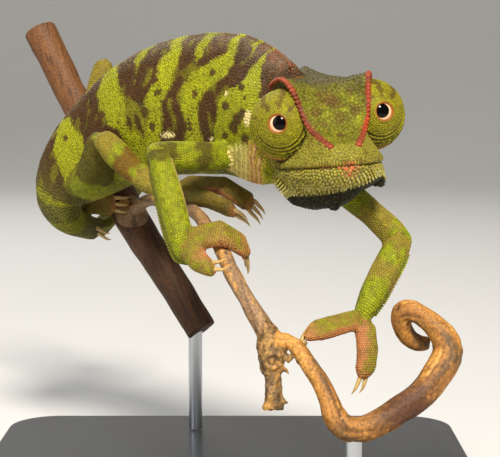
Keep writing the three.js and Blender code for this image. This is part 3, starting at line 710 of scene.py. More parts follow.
# Dark bands across a leg: the solid, how far along it from its body end (0 to 1), and half width.
LEG_BANDS = {
    "near_fore_leg_upper": [(0.42, 0.1, "limb_dark"), (0.8, 0.07, "limb_dark")],
    "near_fore_leg_lower": [(0.04, 0.07, "limb_dark")],
    "far_fore_leg_upper": [(0.1, 0.14, "limb_dark"), (0.75, 0.14, "toe")],
    "far_fore_leg_lower": [(0.1, 0.12, "toe"), (0.5, 0.12, "toe")],
    # The near thigh's wide dark band is its dark olive colour, also painted darker for the shade it sits in.
    "near_hind_leg_upper": [(0.35, 0.3, "limb_dark")],
    "near_hind_leg_lower": [(0.08, 0.24, "toe"), (0.85, 0.2, "toe"), (0.5, 0.14, "patch")],
    "far_hind_leg_upper": [(0.3, 0.12, "limb_dark"), (0.9, 0.3, "toe")],
    "far_hind_leg_lower": [(0.05, 0.25, "toe"), (0.6, 0.14, "limb_dark")],
}


def centre_line(name):
    """The two ends of a long solid's middle line, in mm, the one nearer to the body first."""
    corners = corners_of(NODES[name])
    middle, direction = long_axis(corners)
    reach = (corners - middle) @ direction
    ends = [middle + direction * reach.min(), middle + direction * reach.max()]
    anchor = TRUNK_MIDDLE
    if "_toes_" in name or "_lower" in name:
        foot = name.split("_leg")[0].split("_toes")[0]
        anchor = middle_of(foot + ("_leg_upper" if "_lower" in name else "_leg_lower"))
    return sorted(ends, key=lambda end: np.linalg.norm(end - anchor))


def leg_colours(points, name):
    """Colours of one stretch of a leg, darker on its outer edge, and on the near forearm a pale pink painted
    highlight along the inner edge.
    """
    start, end = centre_line(name)
    share = (points - start) @ (end - start) / ((end - start) @ (end - start))
    rough = noise_at(points, 2.0, 3)
    inner = (unit(points - start - share[:, None] * (end - start)) * INNER_SIDE).sum(1)
    colours = np.tile(PALETTE["limb"], (len(points), 1))
    colours = layer(colours, "band", 0.55 * smoothstep(rough, -0.1, 0.4))
    colours = layer(colours, "limb_dark", 0.55 * smoothstep(-inner + 0.3 * rough, 0.35, 0.85))
    colours = layer(colours, "limb_dark", 0.4 * smoothstep(noise_at(points, 1.1, 21), 0.05, 0.5))
    for middle, width, shade in LEG_BANDS.get(name, []):
        inside = width + 0.08 * rough - np.abs(share - middle)
        colours = layer(colours, shade, 0.8 * smoothstep(inside, -0.02, 0.05))
    # A painted highlight: pale pink and cream along the near forearm's inner edge.
    edge = smoothstep(inner, 0.8, 0.95) * smoothstep(share, 0.05, 0.2) * (name == "near_fore_leg_lower")
    colours = layer(colours, "sole", 0.5 * edge)
    return layer(colours, "cream", 0.4 * edge)


HELD_TWIG = curve_through(np.array([[-3.8, -19, 62.6], [-0.5, -27.5, 58.4], [3.2, -34, 51.7]]), 10)[1]


def toe_colours(points, normals, name):
    """Colours of a bundle of toes: olive above, pink where it grips."""
    foot = name.split("_toes")[0]
    other = name.replace("inner", "x").replace("outer", "inner").replace("x", "outer")
    grip = middle_of(other)
    if foot == "near_fore":
        away = np.linalg.norm(points[:, None, :] - HELD_TWIG[None], axis=2)
        grip = HELD_TWIG[away.argmin(1)]
    inward = (unit(grip - points) * normals).sum(1)
    rough = noise_at(points, 1.3, 4)
    colours = np.tile(PALETTE["toe"], (len(points), 1))
    colours = layer(colours, "limb", smoothstep(rough, 0.0, 0.5) * (0.4 if "hind" in foot else 0.7))
    # Painted shade: the hind feet are darkened because they sit in the shade under the body.
    colours = layer(colours, "fold", np.full(len(points), 0.38 * ("hind" in foot)))
    high = smoothstep(points[:, 2], 56.5, 59) if foot == "near_fore" else 1.0
    colours = layer(colours, "sole", 0.7 * high * near_claws(points, 6.5 if foot == "near_fore" else 4.0))
    reach = {"near_fore": -0.1, "far_fore": -0.2}.get(foot, 0.3)
    return layer(colours, "sole", 0.85 * smoothstep(inward + 0.3 * rough, reach, reach + 0.35))


# %% Head
# The ridge from the snout over each eye, in the head's axes, for the left side.
RIDGE = np.array([
    [2.7, -13.2, -6.0], [4.3, -10.6, -4.1], [5.8, -8.3, -1.7], [6.8, -7.0, 1.4], [7.4, -5.7, 4.1],
    [8.2, -3.5, 6.9], [9.1, -0.4, 8.4], [10.1, 2.8, 7.9], [10.4, 5.4, 6.7],
])
RIDGE_LINE = curve_through(RIDGE, 12)[1]
RIDGE_HALF = 0.7         # mm, half the width of a ridge of beads
# Brown rosettes of the brow: the place in the head's axes, then the radius.
ROSETTES = [
    (-3.9, -7.0, 1.1, 1.3), (0.6, -7.6, -0.5, 1.5), (4.1, -7.2, 0.9, 1.3), (3.9, -4.1, 4.9, 1.0),
    (-1.2, -4.6, 4.0, 2.4), (0.3, -5.6, 2.6, 1.6), (-0.1, -10.2, -3.8, 1.0), (-2.6, -8.4, -1.4, 0.8),
]
# The lower edge of the pale jaw, below which the throat is painted in shadow: x and z in the head's
# axes, and z behind the mouth.
JAW_X = [-10, -5.6, -2, 0, 2.8, 4.8, 6.7]
JAW_Z = [-14.8, -14.9, -14.6, -14.2, -13.5, -12.8, -12.2]
JAW_REAR = -14.6


def off_ridge(local):
    """How far points are from the nearer of the two ridges, and how far inside them they lie."""
    folded = np.abs(local[:, None, 0]), local[:, None, 1], local[:, None, 2]
    away = np.stack(folded, axis=2) - RIDGE_LINE[None]
    distance = np.sqrt((away ** 2).sum(2))
    nearest = distance.argmin(1)
    return distance.min(1), RIDGE_LINE[nearest, 0] - np.abs(local[:, 0])


def jaw_edge(x, y):
    """How high the lower edge of the pale jaw runs, in the head's axes. Below it the throat is painted in
    shadow.
    """
    edge = np.interp(x, JAW_X, JAW_Z)
    return edge + (JAW_REAR - edge) * smoothstep(y, 0, 5)


def head_colours(points, name):
    """Colours of the head, jaw and throat."""
    local = to_head(points)
    x, y, z = local.T
    rough, fine = noise_at(points, 1.9, 5), noise_at(points, 0.8, 6)
    colours = np.tile(PALETTE["cheek"], (len(points), 1))
    colours = layer(colours, "rosette", 0.45 * smoothstep(rough + 0.4 * fine, 0.15, 0.5))
    ridge, inside = off_ridge(local)
    brow = smoothstep(inside, -0.3, 0.5) * smoothstep(z, -6.5, -5.0) * (name == "head")
    colours = layer(colours, "forehead", brow)
    colours = layer(colours, "band", 0.35 * brow * smoothstep(rough, 0.0, 0.4))
    colours = layer(colours, "casque", brow * smoothstep(y, -4.5, 1.0) * 0.85)
    colours = layer(colours, "ember", 0.7 * brow * spot(local + 0.3 * fine[:, None], (-4.6, 7.2, 10.0), 1.6))
    for *centre, radius in ROSETTES:
        flower = spot(local + 0.3 * fine[:, None], centre, radius) * (0.85 + 0.5 * fine)
        colours = layer(colours, "rosette", 0.85 * brow * flower)
    on_ridge = smoothstep(0.8 - ridge, 0.0, 0.25) * (name == "head")
    colours = layer(colours, "crest", on_ridge)
    glowing = smoothstep(x, 2, 4) * smoothstep(6 - np.abs(z - 1), 0, 3)
    colours = layer(colours, "ember", 0.9 * on_ridge * glowing)
    glow = spot(local, (0.2, -15.0, -10.6), 1.9) * smoothstep(fine, -0.7, 0.2)
    colours = layer(colours, "blush", 0.75 * glow)
    colours = layer(colours, "fold", socket_shadow(points, 0.9))
    lip = np.exp(-((z - MOUTH_HEIGHT) / 0.8) ** 2) * smoothstep(-y, -3, 6)
    colours = layer(colours, "rust", 0.45 * lip * smoothstep(fine, -0.1, 0.4))
    jaw = smoothstep(MOUTH_HEIGHT - z, 0.1, 0.5)
    low = jaw_edge(x, y) - z
    patchy = smoothstep(fine + 0.4 * rough, -0.6, 0.3)
    colours = layer(colours, "bead", (0.2 + 0.5 * smoothstep(low, -2.6, -0.6)) * jaw * patchy)
    # Painted shade along the groove of the mouth.
    mouth_groove_shade = np.exp(-((z - MOUTH_HEIGHT - 0.02 * np.maximum(0, y + 2) ** 2) / 0.16) ** 2) * (y < 4)
    colours = layer(colours, "fold", 0.85 * mouth_groove_shade)
    # Painted shadow: below the jaw's edge the throat is painted near black, as the shade under the chin.
    return layer(colours, "throat", 0.95 * smoothstep(low, 0.0, 0.7))


def lid_colours(points, side):
    """Colours of an eye turret, in rings and rays round the gaze."""
    out = unit(points - TURRET_CENTRE[side])
    gaze = GAZE[side]
    right, above = across_axis(gaze)
    theta = np.arccos(np.clip(out @ gaze, -1, 1))
    spin = np.arctan2(out @ right, out @ above)
    up = np.cos(spin)
    rough, fine = noise_at(points, 1.4, 7), noise_at(points, 0.6, 8)
    colours = np.tile(PALETTE["lid"], (len(points), 1))
    colours = layer(colours, "band", 0.4 * smoothstep(rough, 0.0, 0.5))
    rays = np.cos(9 * spin + 1.2 * rough) * smoothstep(up, -0.1, 0.5) * smoothstep(theta, 0.3, 0.5)
    colours = layer(colours, "fleck", 0.75 * smoothstep(rays + 0.4 * fine, 0.25, 0.8))
    low = smoothstep(-up, -0.35, 0.55) * smoothstep(theta, 0.5, 0.8)
    fold = np.sin(2 * np.pi * theta * TURRET_RADIUS / FOLD_SPACING)
    colours = layer(colours, "blush", 0.8 * smoothstep(-up, 0.35, 0.9) * smoothstep(theta, 1.15, 1.35))
    # Painted shade in the troughs of the lower lid's folds.
    colours = layer(colours, "fold", 0.85 * low * smoothstep(-fold, 0.1, 0.8))
    rim = np.exp(-((theta - 0.235) / 0.025) ** 2)
    colours = layer(colours, "ember", 0.8 * rim)
    # Painted shadow round the turret's lower foot, where it sinks into the socket.
    return layer(colours, "fold", 0.9 * smoothstep(-up, 0.1, 0.7) * smoothstep(theta, 1.5, 1.75))


def colours_at(points, normals, parts):
    """The colour of the skin or of a scale at each point."""
    colours = np.zeros((len(points), 3))
    for name in np.unique(parts):
        here = parts == name
        if name.startswith("eye_turret"):
            colours[here] = lid_colours(points[here], name.split("_")[-1])
        elif name in ("head", "lower_jaw", "throat"):
            colours[here] = head_colours(points[here], name)
        elif "_leg_" in name:
            colours[here] = leg_colours(points[here], name)
        elif "_toes_" in name:
            colours[here] = toe_colours(points[here], normals[here], name)
        else:
            colours[here] = trunk_colours(points[here])
        if name in ("neck", "trunk", "throat"):
            share, pink = pleated(points[here])
            colours[here] = layer(colours[here], "band", 0.9 * share)
            colours[here] = layer(colours[here], "cream", 0.35 * share * (1 - pink))
            colours[here] = layer(colours[here], "blush", 0.35 * share * pink)
            # Painted light: the pleats are brightened because they lie in the shade under the neck.
            colours[here] *= 1 + 0.5 * share[:, None]
    return colours


def paint(piece, colours):
    """Stores a colour at each vertex of a mesh, for its material to read."""
    stored = piece.data.color_attributes.new("paint", "FLOAT_COLOR", "POINT")
    stored.data.foreach_set("color", np.hstack([colours, np.ones((len(colours), 1))]).ravel())


skin_points = corners_of(skin)
skin_parts = part_of(skin_points)
# Painted shade: the skin in the gaps between the scales is darkened to this share of its colour.
SHADE_BETWEEN_SCALES = 0.62   # how dark the skin is between its scales
paint(skin, SHADE_BETWEEN_SCALES * colours_at(skin_points, normals_of(skin), skin_parts))
print("painted:", len(skin_points), "vertices of skin")

# %% [markdown]
# ## Scales
# A chameleon's scales are small, raised and don't overlap: fine grains in rows round the legs, the
# tail and the eyes, bigger plates on the brow, and blunt cones under the chin. Geometry Nodes could
# scatter them, but rows that follow the body need rays, so each scale is a low dome with a closed
# foot, placed by code. All domes of a region are one mesh, and each carries its colour and a small
# patch of a map at its root's place on the unrolled skin.

# %% One dome, many places
DOME_SIDES = 6
# Each ring of a dome: its share of the radius and of the height, and how light it is painted, as
# painted shade at its foot and a painted highlight towards its top.
DOME_RINGS = [(1.0, -0.45, 0.74), (0.8, 0.62, 0.98)]
BEAD_RINGS = [(1.0, -0.3, 0.55), (0.97, 0.2, 0.8), (0.8, 0.62, 0.98), (0.45, 0.92, 1.06)]
CONE_RINGS = [(1.0, -0.45, 0.5), (0.72, 0.3, 0.86), (0.36, 0.78, 1.1)]
# The tip of each dome is painted lighter: a painted highlight.
TOP_HIGHLIGHT = 1.06
UV_PATCH = 0.003


def dome_mesh(name, roots, sides=DOME_SIDES, rings=DOME_RINGS):
    """Low domes as one closed mesh. roots holds arrays: point, normal, lie, size, colour, map."""
    count = len(roots["point"])
    normal = unit(roots["normal"])
    lie = unit(roots["lie"] - normal * (roots["lie"] * normal).sum(1)[:, None])
    across = np.cross(normal, lie)
    length, width, height = roots["size"].T
    angles = 2 * np.pi * (np.arange(sides) + 0.5) / sides
    corners, offsets, painted_light = [], [], []
    for reach, lift, shade in rings:
        for angle in angles:
            a, b = reach * math.cos(angle), reach * math.sin(angle)
            corners.append(roots["point"] + lie * (a * length)[:, None]
                           + across * (b * width)[:, None] + normal * (lift * height)[:, None])
            offsets.append((a, b))
            painted_light.append(shade)
    corners.append(roots["point"] + normal * height[:, None])
    offsets.append((0, 0))
    painted_light.append(TOP_HIGHLIGHT)
    per = len(corners)
    corners = np.stack(corners, axis=1).reshape(-1, 3)
    n, top = sides, sides * (len(rings) - 1)
    faces = [(0, i + 1, i) for i in range(1, n - 1)]
    for i in range(n):
        j = (i + 1) % n
        for low in range(0, top, n):
            faces += [(low + i, low + j, low + n + j), (low + i, low + n + j, low + n + i)]
        faces.append((top + i, top + j, top + n))
    faces = np.array(faces)
    whole = (faces[None] + per * np.arange(count)[:, None, None]).reshape(-1, 3)
    mesh = bpy.data.meshes.new(name)
    mesh.from_pydata((corners * MM).tolist(), [], whole.tolist())
    mesh.shade_smooth()
    piece = bpy.data.objects.new(name, mesh)
    bpy.context.scene.collection.objects.link(piece)
    # Painted light: each ring darkens or lightens the colour, with shade at the foot and a highlight on top.
    colours = (roots["colour"][:, None, :] * np.array(painted_light)[None, :, None]).reshape(-1, 3)
    paint(piece, colours)
    uv = mesh.uv_layers.new(name="OFBake")
    spread = np.array(offsets) * UV_PATCH / 2
    spots = (np.clip(roots["map"], 0.002, 0.998)[:, None] + spread[None]).reshape(-1, 2)
    uv.data.foreach_set("uv", spots[whole.ravel()].ravel())
    return piece


# %% Keep scales apart, and find the skin
class Spacing:
    """Remembers where scales are, so that no two stand too close."""

    def __init__(self, cell=0.5):
        self.cell, self.taken = cell, {}

    def claim(self, point, apart):
        """True, and the place is taken, if nothing stands within apart of point."""
        cx, cy, cz = (int(math.floor(c / self.cell)) for c in point)
        reach = int(math.ceil(apart / self.cell))
        near = range(-reach, reach + 1)
        for i in near:
            for j in near:
                for k in near:
                    for other in self.taken.get((cx + i, cy + j, cz + k), ()):
                        if sum((a - b) ** 2 for a, b in zip(point, other)) < apart * apart:
                            return False
        self.taken.setdefault((cx, cy, cz), []).append(tuple(point))
        return True


spacing = Spacing()
chance = np.random.default_rng(7)
RAY_REACH = 0.03         # m, how far a ray inside the body looks for the skin
IN_FRONT = -24.0         # mm, where a ray that comes from in front of the head starts


def skin_at(point):
    """The nearest place on the skin to a point in mm, and the skin's normal there."""
    place, normal, _, _ = skin_tree.find_nearest(Vector(point) * MM)
    return np.array(place) / MM, np.array(normal)


def hits_round(centre, rays):
    """Where rays from a point in mm meet the skin, or None for each that misses it."""
    hits = (skin_tree.ray_cast(Vector(centre) * MM, Vector(ray), RAY_REACH)[0] for ray in rays)
    return [None if hit is None else np.array(hit) / MM for hit in hits]


def behind(x, z):
    """The skin and its normal as seen straight from in front, at x and z in the head's axes."""
    start = Vector(from_head([x, IN_FRONT, z])) * MM
    place, normal, _, _ = skin_tree.ray_cast(start, Vector(HEAD_AXES[:, 1]))
    return (None, None) if place is None else (np.array(place) / MM, np.array(normal))


# %% Rows of scales round a line or a point
ROOT_VALUES = ("point", "normal", "lie", "map", "step", "part")
LINE_RAYS, CHIN_RAYS = 72, 96            # rays in a ring
ASKEW = [0.31, 0.2, 0.93]                # a direction that no row's line runs along


def walk_round(ring, step, odd, lie_at, along):
    """Places at even steps round a ring of points (None where the skin was missed)."""
    found, walked, offset = [], 0.0, 0.5 * step * odd
    for k, here in enumerate(ring):
        there = ring[(k + 1) % len(ring)]
        if here is None or there is None:
            continue
        edge = float(np.linalg.norm(there - here))
        if edge > 3.0 * step + 1.2:
            continue
        while offset < walked + edge:
            share = (offset - walked) / edge
            place = here + (there - here) * share
            found.append((place, lie_at(place), along, (k + share) / len(ring)))
            offset += step
        walked += edge
    return found


def rows_round(line, step, parts, region, gap=0.8, jitter=0.06, row_step=None):
    """Roots in rows round a centre line (mm). Each row is where rays from the line meet the skin,
    divided evenly. Only scales on the named parts are kept."""
    lengths = lengths_along(line)
    rows = max(1, round(lengths[-1] / (row_step or step)))
    angles = [2 * math.pi * k / LINE_RAYS for k in range(LINE_RAYS)]
    found = []
    for row in range(rows):
        at = (row + 0.5) * lengths[-1] / rows
        last = points_at(line, lengths, max(at - 0.5, 0))
        tangent = unit(points_at(line, lengths, min(at + 0.5, lengths[-1])) - last)
        side = unit(np.cross(tangent, ASKEW))
        rise = np.cross(tangent, side)
        ring = hits_round(points_at(line, lengths, at),
                          [math.cos(angle) * side + math.sin(angle) * rise for angle in angles])
        found += walk_round(ring, step, row % 2, lambda place: tangent, row / rows)
    return settle(found, step, parts, region, gap, jitter)


def keep_root(kept, region, point, normal, lie, u, v, step, part):
    """Adds one root to kept. u and v give its place in its region of the map, from 0 to 1."""
    low, high = region
    place = low[0] + (high[0] - low[0]) * u, low[1] + (high[1] - low[1]) * v
    for key, value in zip(ROOT_VALUES, (point, normal, lie, place, step, part)):
        kept[key].append(value)


def settle(found, step, parts, region, gap, jitter):
    """Drops candidates onto the skin and keeps those on their parts with room around them."""
    kept = {key: [] for key in ROOT_VALUES}
    for point, lie, u, v in found:
        point = point + chance.normal(0, jitter * step, 3)
        place, normal = skin_at(point)
        name = part_names[part_tree.find_nearest(Vector(place) * MM)[2]]
        if name not in parts or np.linalg.norm(place - point) > 1.5:
            continue
        if spacing.claim(place, gap * step):
            keep_root(kept, region, place, normal, lie, u, v, step, name)
    return {key: np.array(value) for key, value in kept.items()}


def gathered(groups):
    """Several groups of roots as one."""
    groups = [g for g in groups if len(g["point"])]
    return {key: np.concatenate([g[key] for g in groups]) for key in groups[0]}


def scale_piece(name, roots, fill=0.6, height=0.15, vary=0.1, stretch=1.0):
    """Turns roots into a mesh of domes in the skin's colours. fill is the radius as a share of the
    spacing, height the domes' rise in mm."""
    count = len(roots["point"])
    size = roots["step"] * fill * (1 + vary * chance.uniform(-1, 1, count))
    rise = height * (1 + 0.5 * vary * chance.uniform(-1, 1, count)) * np.minimum(1, roots["step"] / 0.6)
    roots["size"] = np.stack([size, size * stretch, rise], axis=1)
    tone = 1 + 0.14 * chance.uniform(-1, 1, count)
    roots["colour"] = colours_at(roots["point"], roots["normal"], roots["part"]) * tone[:, None]
    piece = dome_mesh(name, roots)
    wear(piece)
    print(f"{name}: {count} scales, {len(piece.data.polygons)} triangles")


coats = []


def wear(piece):
    """Puts a finished mesh of scales on the animal."""
    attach(piece, "root")
    coats.append(piece)


# %% [markdown]
# ### Head scales
# The head is dressed first, because its scales are the most telling: a beaded ridge over each eye,
# rings on the lids, rows along the lips and jaws, cones under the jaw, and wide plates between the
# ridges. Ridges and cones have more rings to a dome, because their outline shows.

# %% Ridge beads and lid rings
BEAD_STEP = 0.98         # mm from one bead of a ridge to the next
BODY_STEP, LEG_STEP, TOE_STEP = 0.62, 0.56, 0.46     # mm from one scale to the next


def ridge_roots(sign):
    """Beads along one ridge, close together."""
    local = RIDGE_LINE * [sign, 1, 1]
    lengths = lengths_along(local)
    at = np.arange(0.3, lengths[-1] - 0.3, BEAD_STEP)
    places = points_at(local, lengths, at)
    lies = points_at(local, lengths, at + 0.3) - places
    points = from_head(places)
    outward = unit(from_head(places + [0, -0.4, 0.9]) - points)
    for point in points:
        spacing.claim(point, 0.1)
    count = len(points)
    return {
        "point": points - 0.12 * outward, "normal": outward, "lie": lies @ HEAD_AXES.T,
        "map": np.stack([at / lengths[-1] * 0.9 + 0.05, np.full(count, 0.02 if sign < 0 else 0.05)], 1),
        "step": np.full(count, BODY_STEP), "part": np.full(count, "head"),
    }


ridges = gathered([ridge_roots(1), ridge_roots(-1)])
bead_count = len(ridges["point"])
ridges["size"] = np.tile([0.6, 0.68, 0.5], (bead_count, 1)) * chance.uniform(0.94, 1.06, (bead_count, 1))
ridges["colour"] = head_colours(ridges["point"], "head") * chance.uniform(0.88, 1.12, (bead_count, 1))
wear(dome_mesh("scales_brow_ridges", ridges, sides=12, rings=BEAD_RINGS))


LID_END = 2.1            # the rings of the lids reach this far from the gaze, in radians


def lid_roots(side, step=0.46):
    """Rings of fine scales round the gaze, from the opening back to the socket."""
    gaze = GAZE[side]
    right, above = across_axis(gaze)
    found = []
    first = RIM_ANGLE + 0.02
    rings = int((LID_END - first) * TURRET_RADIUS / step)
    for ring in range(rings):
        theta = first + ring * step / TURRET_RADIUS
        count = int(2 * math.pi * TURRET_RADIUS * math.sin(theta) / step)
        for k in range(count):
            spin = 2 * math.pi * (k + 0.5 * (ring % 2)) / count
            around = math.cos(spin) * right + math.sin(spin) * above
            out = math.cos(theta) * gaze + math.sin(theta) * around
            lie = math.cos(theta) * around - math.sin(theta) * gaze
            place = TURRET_CENTRE[side] + turret_profile(theta, math.sin(spin)) * out
            found.append((place, lie, ring / rings, k / count))
    region = {"right": ((0.02, 0.1), (0.48, 0.9)), "left": ((0.52, 0.1), (0.98, 0.9))}[side]
    return settle(found, step, (TURRETS[side],), region, 0.68, 0.13)


lids = gathered([lid_roots(side) for side in SIDES])
scale_piece("scales_lids", lids, fill=0.58, height=0.11, vary=0.2)

# %% Beads on the lips
# Each row: x and z in the head's axes, then the bead's radius. They sit at the mouth's line in front.
LIP_BEADS = [
    (-0.55, -10.45, 0.52), (0.6, -10.35, 0.5), (-0.5, -9.35, 0.26), (0.7, -9.3, 0.26),
    (-1.9, -10.1, 0.32), (-3.7, -9.95, 0.26), (-4.6, -9.85, 0.26), (1.7, -9.85, 0.3),
    (2.5, -9.65, 0.28), (0.1, -11.4, 0.36),
]
lip_places, lip_normals = (np.array(column) for column in zip(*(behind(x, z) for x, z, _ in LIP_BEADS)))
for place in lip_places:
    spacing.claim(place, 0.2)
radii = np.array([row[2] for row in LIP_BEADS])
count = len(radii)
wear(dome_mesh("scales_lip_beads", {
    "point": lip_places, "normal": lip_normals, "lie": np.tile(HEAD_AXES[:, 0], (count, 1)),
    "size": np.stack([radii, radii, 0.5 * radii], 1),
    "map": np.stack([np.linspace(0.05, 0.95, count), np.full(count, 0.08)], 1),
    "colour": np.tile(0.35 * PALETTE["ember"] + 0.7 * PALETTE["blush"], (count, 1)),
}, sides=10, rings=BEAD_RINGS))

# %% Lips and jaws in rows, then plates over the rest
CHIN = np.array([0.4, -14.9, -10.3])         # the tip of the chin, in the head's axes
JAW_MIDDLE = np.array([0, -1.5, -10.3])
JAW_STEP = 0.66          # mm from one scale of the jaw to the next


def chin_rings(parts, step, region):
    """Rows of scales that run in arcs round the tip of the chin and fan out over the jaw."""
    axis = unit((CHIN - JAW_MIDDLE) @ HEAD_AXES.T)
    centre = from_head(JAW_MIDDLE)
    right, above = across_axis(axis)
    spins = [2 * math.pi * k / CHIN_RAYS for k in range(CHIN_RAYS)]

    def lie_at(place):
        return unit(place - centre - axis * ((place - centre) @ axis))

    found, theta, row = [], 0.02, 0
    while theta < 2.0:
        ring = hits_round(centre, [
            math.cos(theta) * axis + math.sin(theta) * (math.cos(spin) * right + math.sin(spin) * above)
            for spin in spins])
        found += walk_round(ring, step, row % 2, lie_at, theta / 2)
        reach = [float(np.linalg.norm(hit - centre)) for hit, spin in zip(ring, spins)
                 if hit is not None and math.sin(spin) < 0]
        theta += 0.9 * step / np.mean(reach)
        row += 1
    return settle(found, step, parts, region, 0.72, 0.07)


def cones_of(name, rows):
    """Cones as one mesh. Each row: place, direction, radius and height."""
    places, ups, radii, heights = (np.array(column) for column in zip(*rows))
    count = len(places)
    colours = colours_at(places, ups, np.full(count, "lower_jaw")) * chance.uniform(0.85, 1.2, (count, 1))
    wear(dome_mesh(name, {
        "point": places, "normal": ups, "lie": np.tile(HEAD_AXES[:, 0], (count, 1)), "colour": colours,
        "size": np.stack([radii, radii, heights], 1),
        "map": np.stack([np.linspace(0.02, 0.98, count), np.full(count, 0.1)], 1),
    }, sides=8, rings=CONE_RINGS))
    print(f"{name}: {count} cones")


def jaw_cone_rows():
    """Rows of pale cones along the lower edge of the jaw, as seen from in front."""
    rows = []
    for k in range(5):
        for x in np.arange(-9.4 + 0.37 * (k % 2), 8.4, 0.74):
            z = jaw_edge(x, -9.0) + 0.1 + 0.62 * k + 0.06 * chance.normal()
            place, normal = behind(x, z)
            if place is None or not spacing.claim(place, 0.42):
                continue
            up = unit(normal - (1.1 - 0.15 * k) * HEAD_AXES[:, 2])
            rows.append((place, up, 0.36 - 0.01 * k, 0.85 - 0.13 * k))
    return rows


# The rear corner of the jaw, in the head's axes, for the left side, and the step between two rows.
JAW_CORNER = np.array([[10.9, 4.0, -10.8], [10.6, 1.6, -12.6], [9.9, 0.0, -14.2], [9.2, -0.6, -15.2]])
FRINGE_STEP = np.array([-0.5, -0.75, 0.2])


def fringe_rows():
    """Longer cones that hang from the rear corner of the jaw, the same on both sides."""
    rows = []
    edge = curve_through(JAW_CORNER, 10)[1]
    for sign in SIDES.values():
        for k in range(3):
            for corner in edge[k % 2::3]:
                place, _ = skin_at(from_head((corner + k * FRINGE_STEP) * [sign, 1, 1]))
                up = unit(np.array([(0.8 - 0.12 * k) * sign, -0.2, -0.62])) @ HEAD_AXES.T
                spacing.claim(place, 0.1)
                rows.append((place, up, 0.4, 1.75 - 0.35 * k))
    return rows


cones_of("scales_jaw_cones", jaw_cone_rows())
cones_of("scales_jaw_fringe", fringe_rows())
upright = from_head(np.array([[0, -2.0, -8.75], [0, -2.0, -9.85]]))
lip_scales = rows_round(upright, 0.6, ("head",), ((0.0, 0.02), (1.0, 0.1)), gap=0.85, row_step=1.1)
jaw_rings = chin_rings(("lower_jaw", "throat"), JAW_STEP, ((0.0, 0.12), (1.0, 0.6)))
jaw_local = to_head(jaw_rings["point"])
above_edge = jaw_local[:, 2] > jaw_edge(jaw_local[:, 0], jaw_local[:, 1]) - 3
jaw_scales = {key: value[above_edge] for key, value in jaw_rings.items()}


def scattered(parts, step_at, tries, region, axes):
    """Roots strewn over the named parts, each as far from the others as step_at says."""
    corners = corners_of(skin)
    middles = corners[skin_triangles].mean(1)
    wanted = np.flatnonzero(np.isin(part_of(middles), parts))
    a, b, c = (corners[skin_triangles[wanted, i]] for i in range(3))
    area = np.linalg.norm(np.cross(b - a, c - a), axis=1)
    chosen = chance.choice(len(wanted), tries, p=area / area.sum())
    u, v = chance.random((2, tries, 1))
    over = u + v > 1
    u, v = np.where(over, 1 - u, u), np.where(over, 1 - v, v)
    points = a[chosen] + u * (b[chosen] - a[chosen]) + v * (c[chosen] - a[chosen])
    steps = step_at(points)
    clear = off_ridge(to_head(points))[0] > RIDGE_HALF
    for side in SIDES:
        away = points - TURRET_CENTRE[side]
        off_turret = np.linalg.norm(away, axis=1) > TURRET_RADIUS + 2
        clear &= off_turret | (unit(away) @ GAZE[side] < math.cos(RIM_ANGLE))
    along, round_it = axes(points)
    kept = {key: [] for key in ROOT_VALUES}
    names = part_of(points)
    for i in np.argsort(-steps, kind="stable"):
        if not clear[i] or not spacing.claim(points[i], 0.82 * steps[i]):
            continue
        place, normal = skin_at(points[i])
        keep_root(kept, region, place, normal, HEAD_AXES[:, 1], along[i], round_it[i], steps[i], names[i])
    return {key: np.array(value) for key, value in kept.items()}


def head_step(points):
    """Wide plates between the ridges, small scales on the cheeks and throat."""
    local = to_head(points)
    _, inside = off_ridge(local)
    brow = smoothstep(inside, 0.2, 1.0) * smoothstep(local[:, 2], -6.5, -4.5)
    return 0.56 + 0.3 * brow


def head_axes(points):
    """Where a point is along and round the head, from 0 to 1."""
    x, y, z = to_head(points).T
    return np.clip((y + 16) / 36, 0, 1), (np.arctan2(x, z + 6) / (2 * np.pi)) % 1


plates = scattered(("head",), head_step, 42000, ((0.0, 0.12), (1.0, 0.98)), head_axes)
under = scattered(("lower_jaw", "throat"), lambda points: np.full(len(points), JAW_STEP), 22000,
                  ((0.0, 0.62), (1.0, 0.98)), head_axes)
scale_piece("scales_brow_and_cheeks", plates, fill=0.66, height=0.13)
scale_piece("scales_lips", lip_scales, fill=0.95, height=0.1, stretch=0.5)
scale_piece("scales_jaws", gathered([jaw_scales, under]), fill=0.58, height=0.26, vary=0.15)

# %% [markdown]
# ### Body, legs and tail
# The pale beads of the neck's pleats come first, so that the rows leave room for them. Down the body
# the scales are finer and stand in rings. Each leg's rings run round its own middle line, and the
# tail's follow its curl. Feet get the smallest ones, and grains fill every place left bare.

# %% Pleats of the neck
def pleat_beads(step=0.8):
    """Beads along every pleat, on both sides of the neck."""
    rows = []
    for smooth, pink in PLEAT_LINES:
        lengths = lengths_along(smooth)
        for at in np.arange(0, lengths[-1], step):
            aim = points_at(smooth, lengths, at)
            ahead = points_at(smooth, lengths, at + 0.3)
            place, normal = skin_at(aim)
            if np.linalg.norm(place - aim) < 2.5 and spacing.claim(place, 0.4):
                rows.append((place, normal, ahead - aim + [0, 0, -0.01], pink, at / lengths[-1]))
    return rows


places, ups, lies, pink, done = (np.array(column) for column in zip(*pleat_beads()))
pink = np.clip(pink + 0.25 * noise_at(places, 1.5, 15), 0, 1)[:, None]
pale_bead = 0.65 * PALETTE["cream"] + 0.35 * PALETTE["band"]
pink_bead = 0.8 * PALETTE["blush"] + 0.2 * PALETTE["cream"]
pleat_colours = (1 - pink) * pale_bead + pink * pink_bead
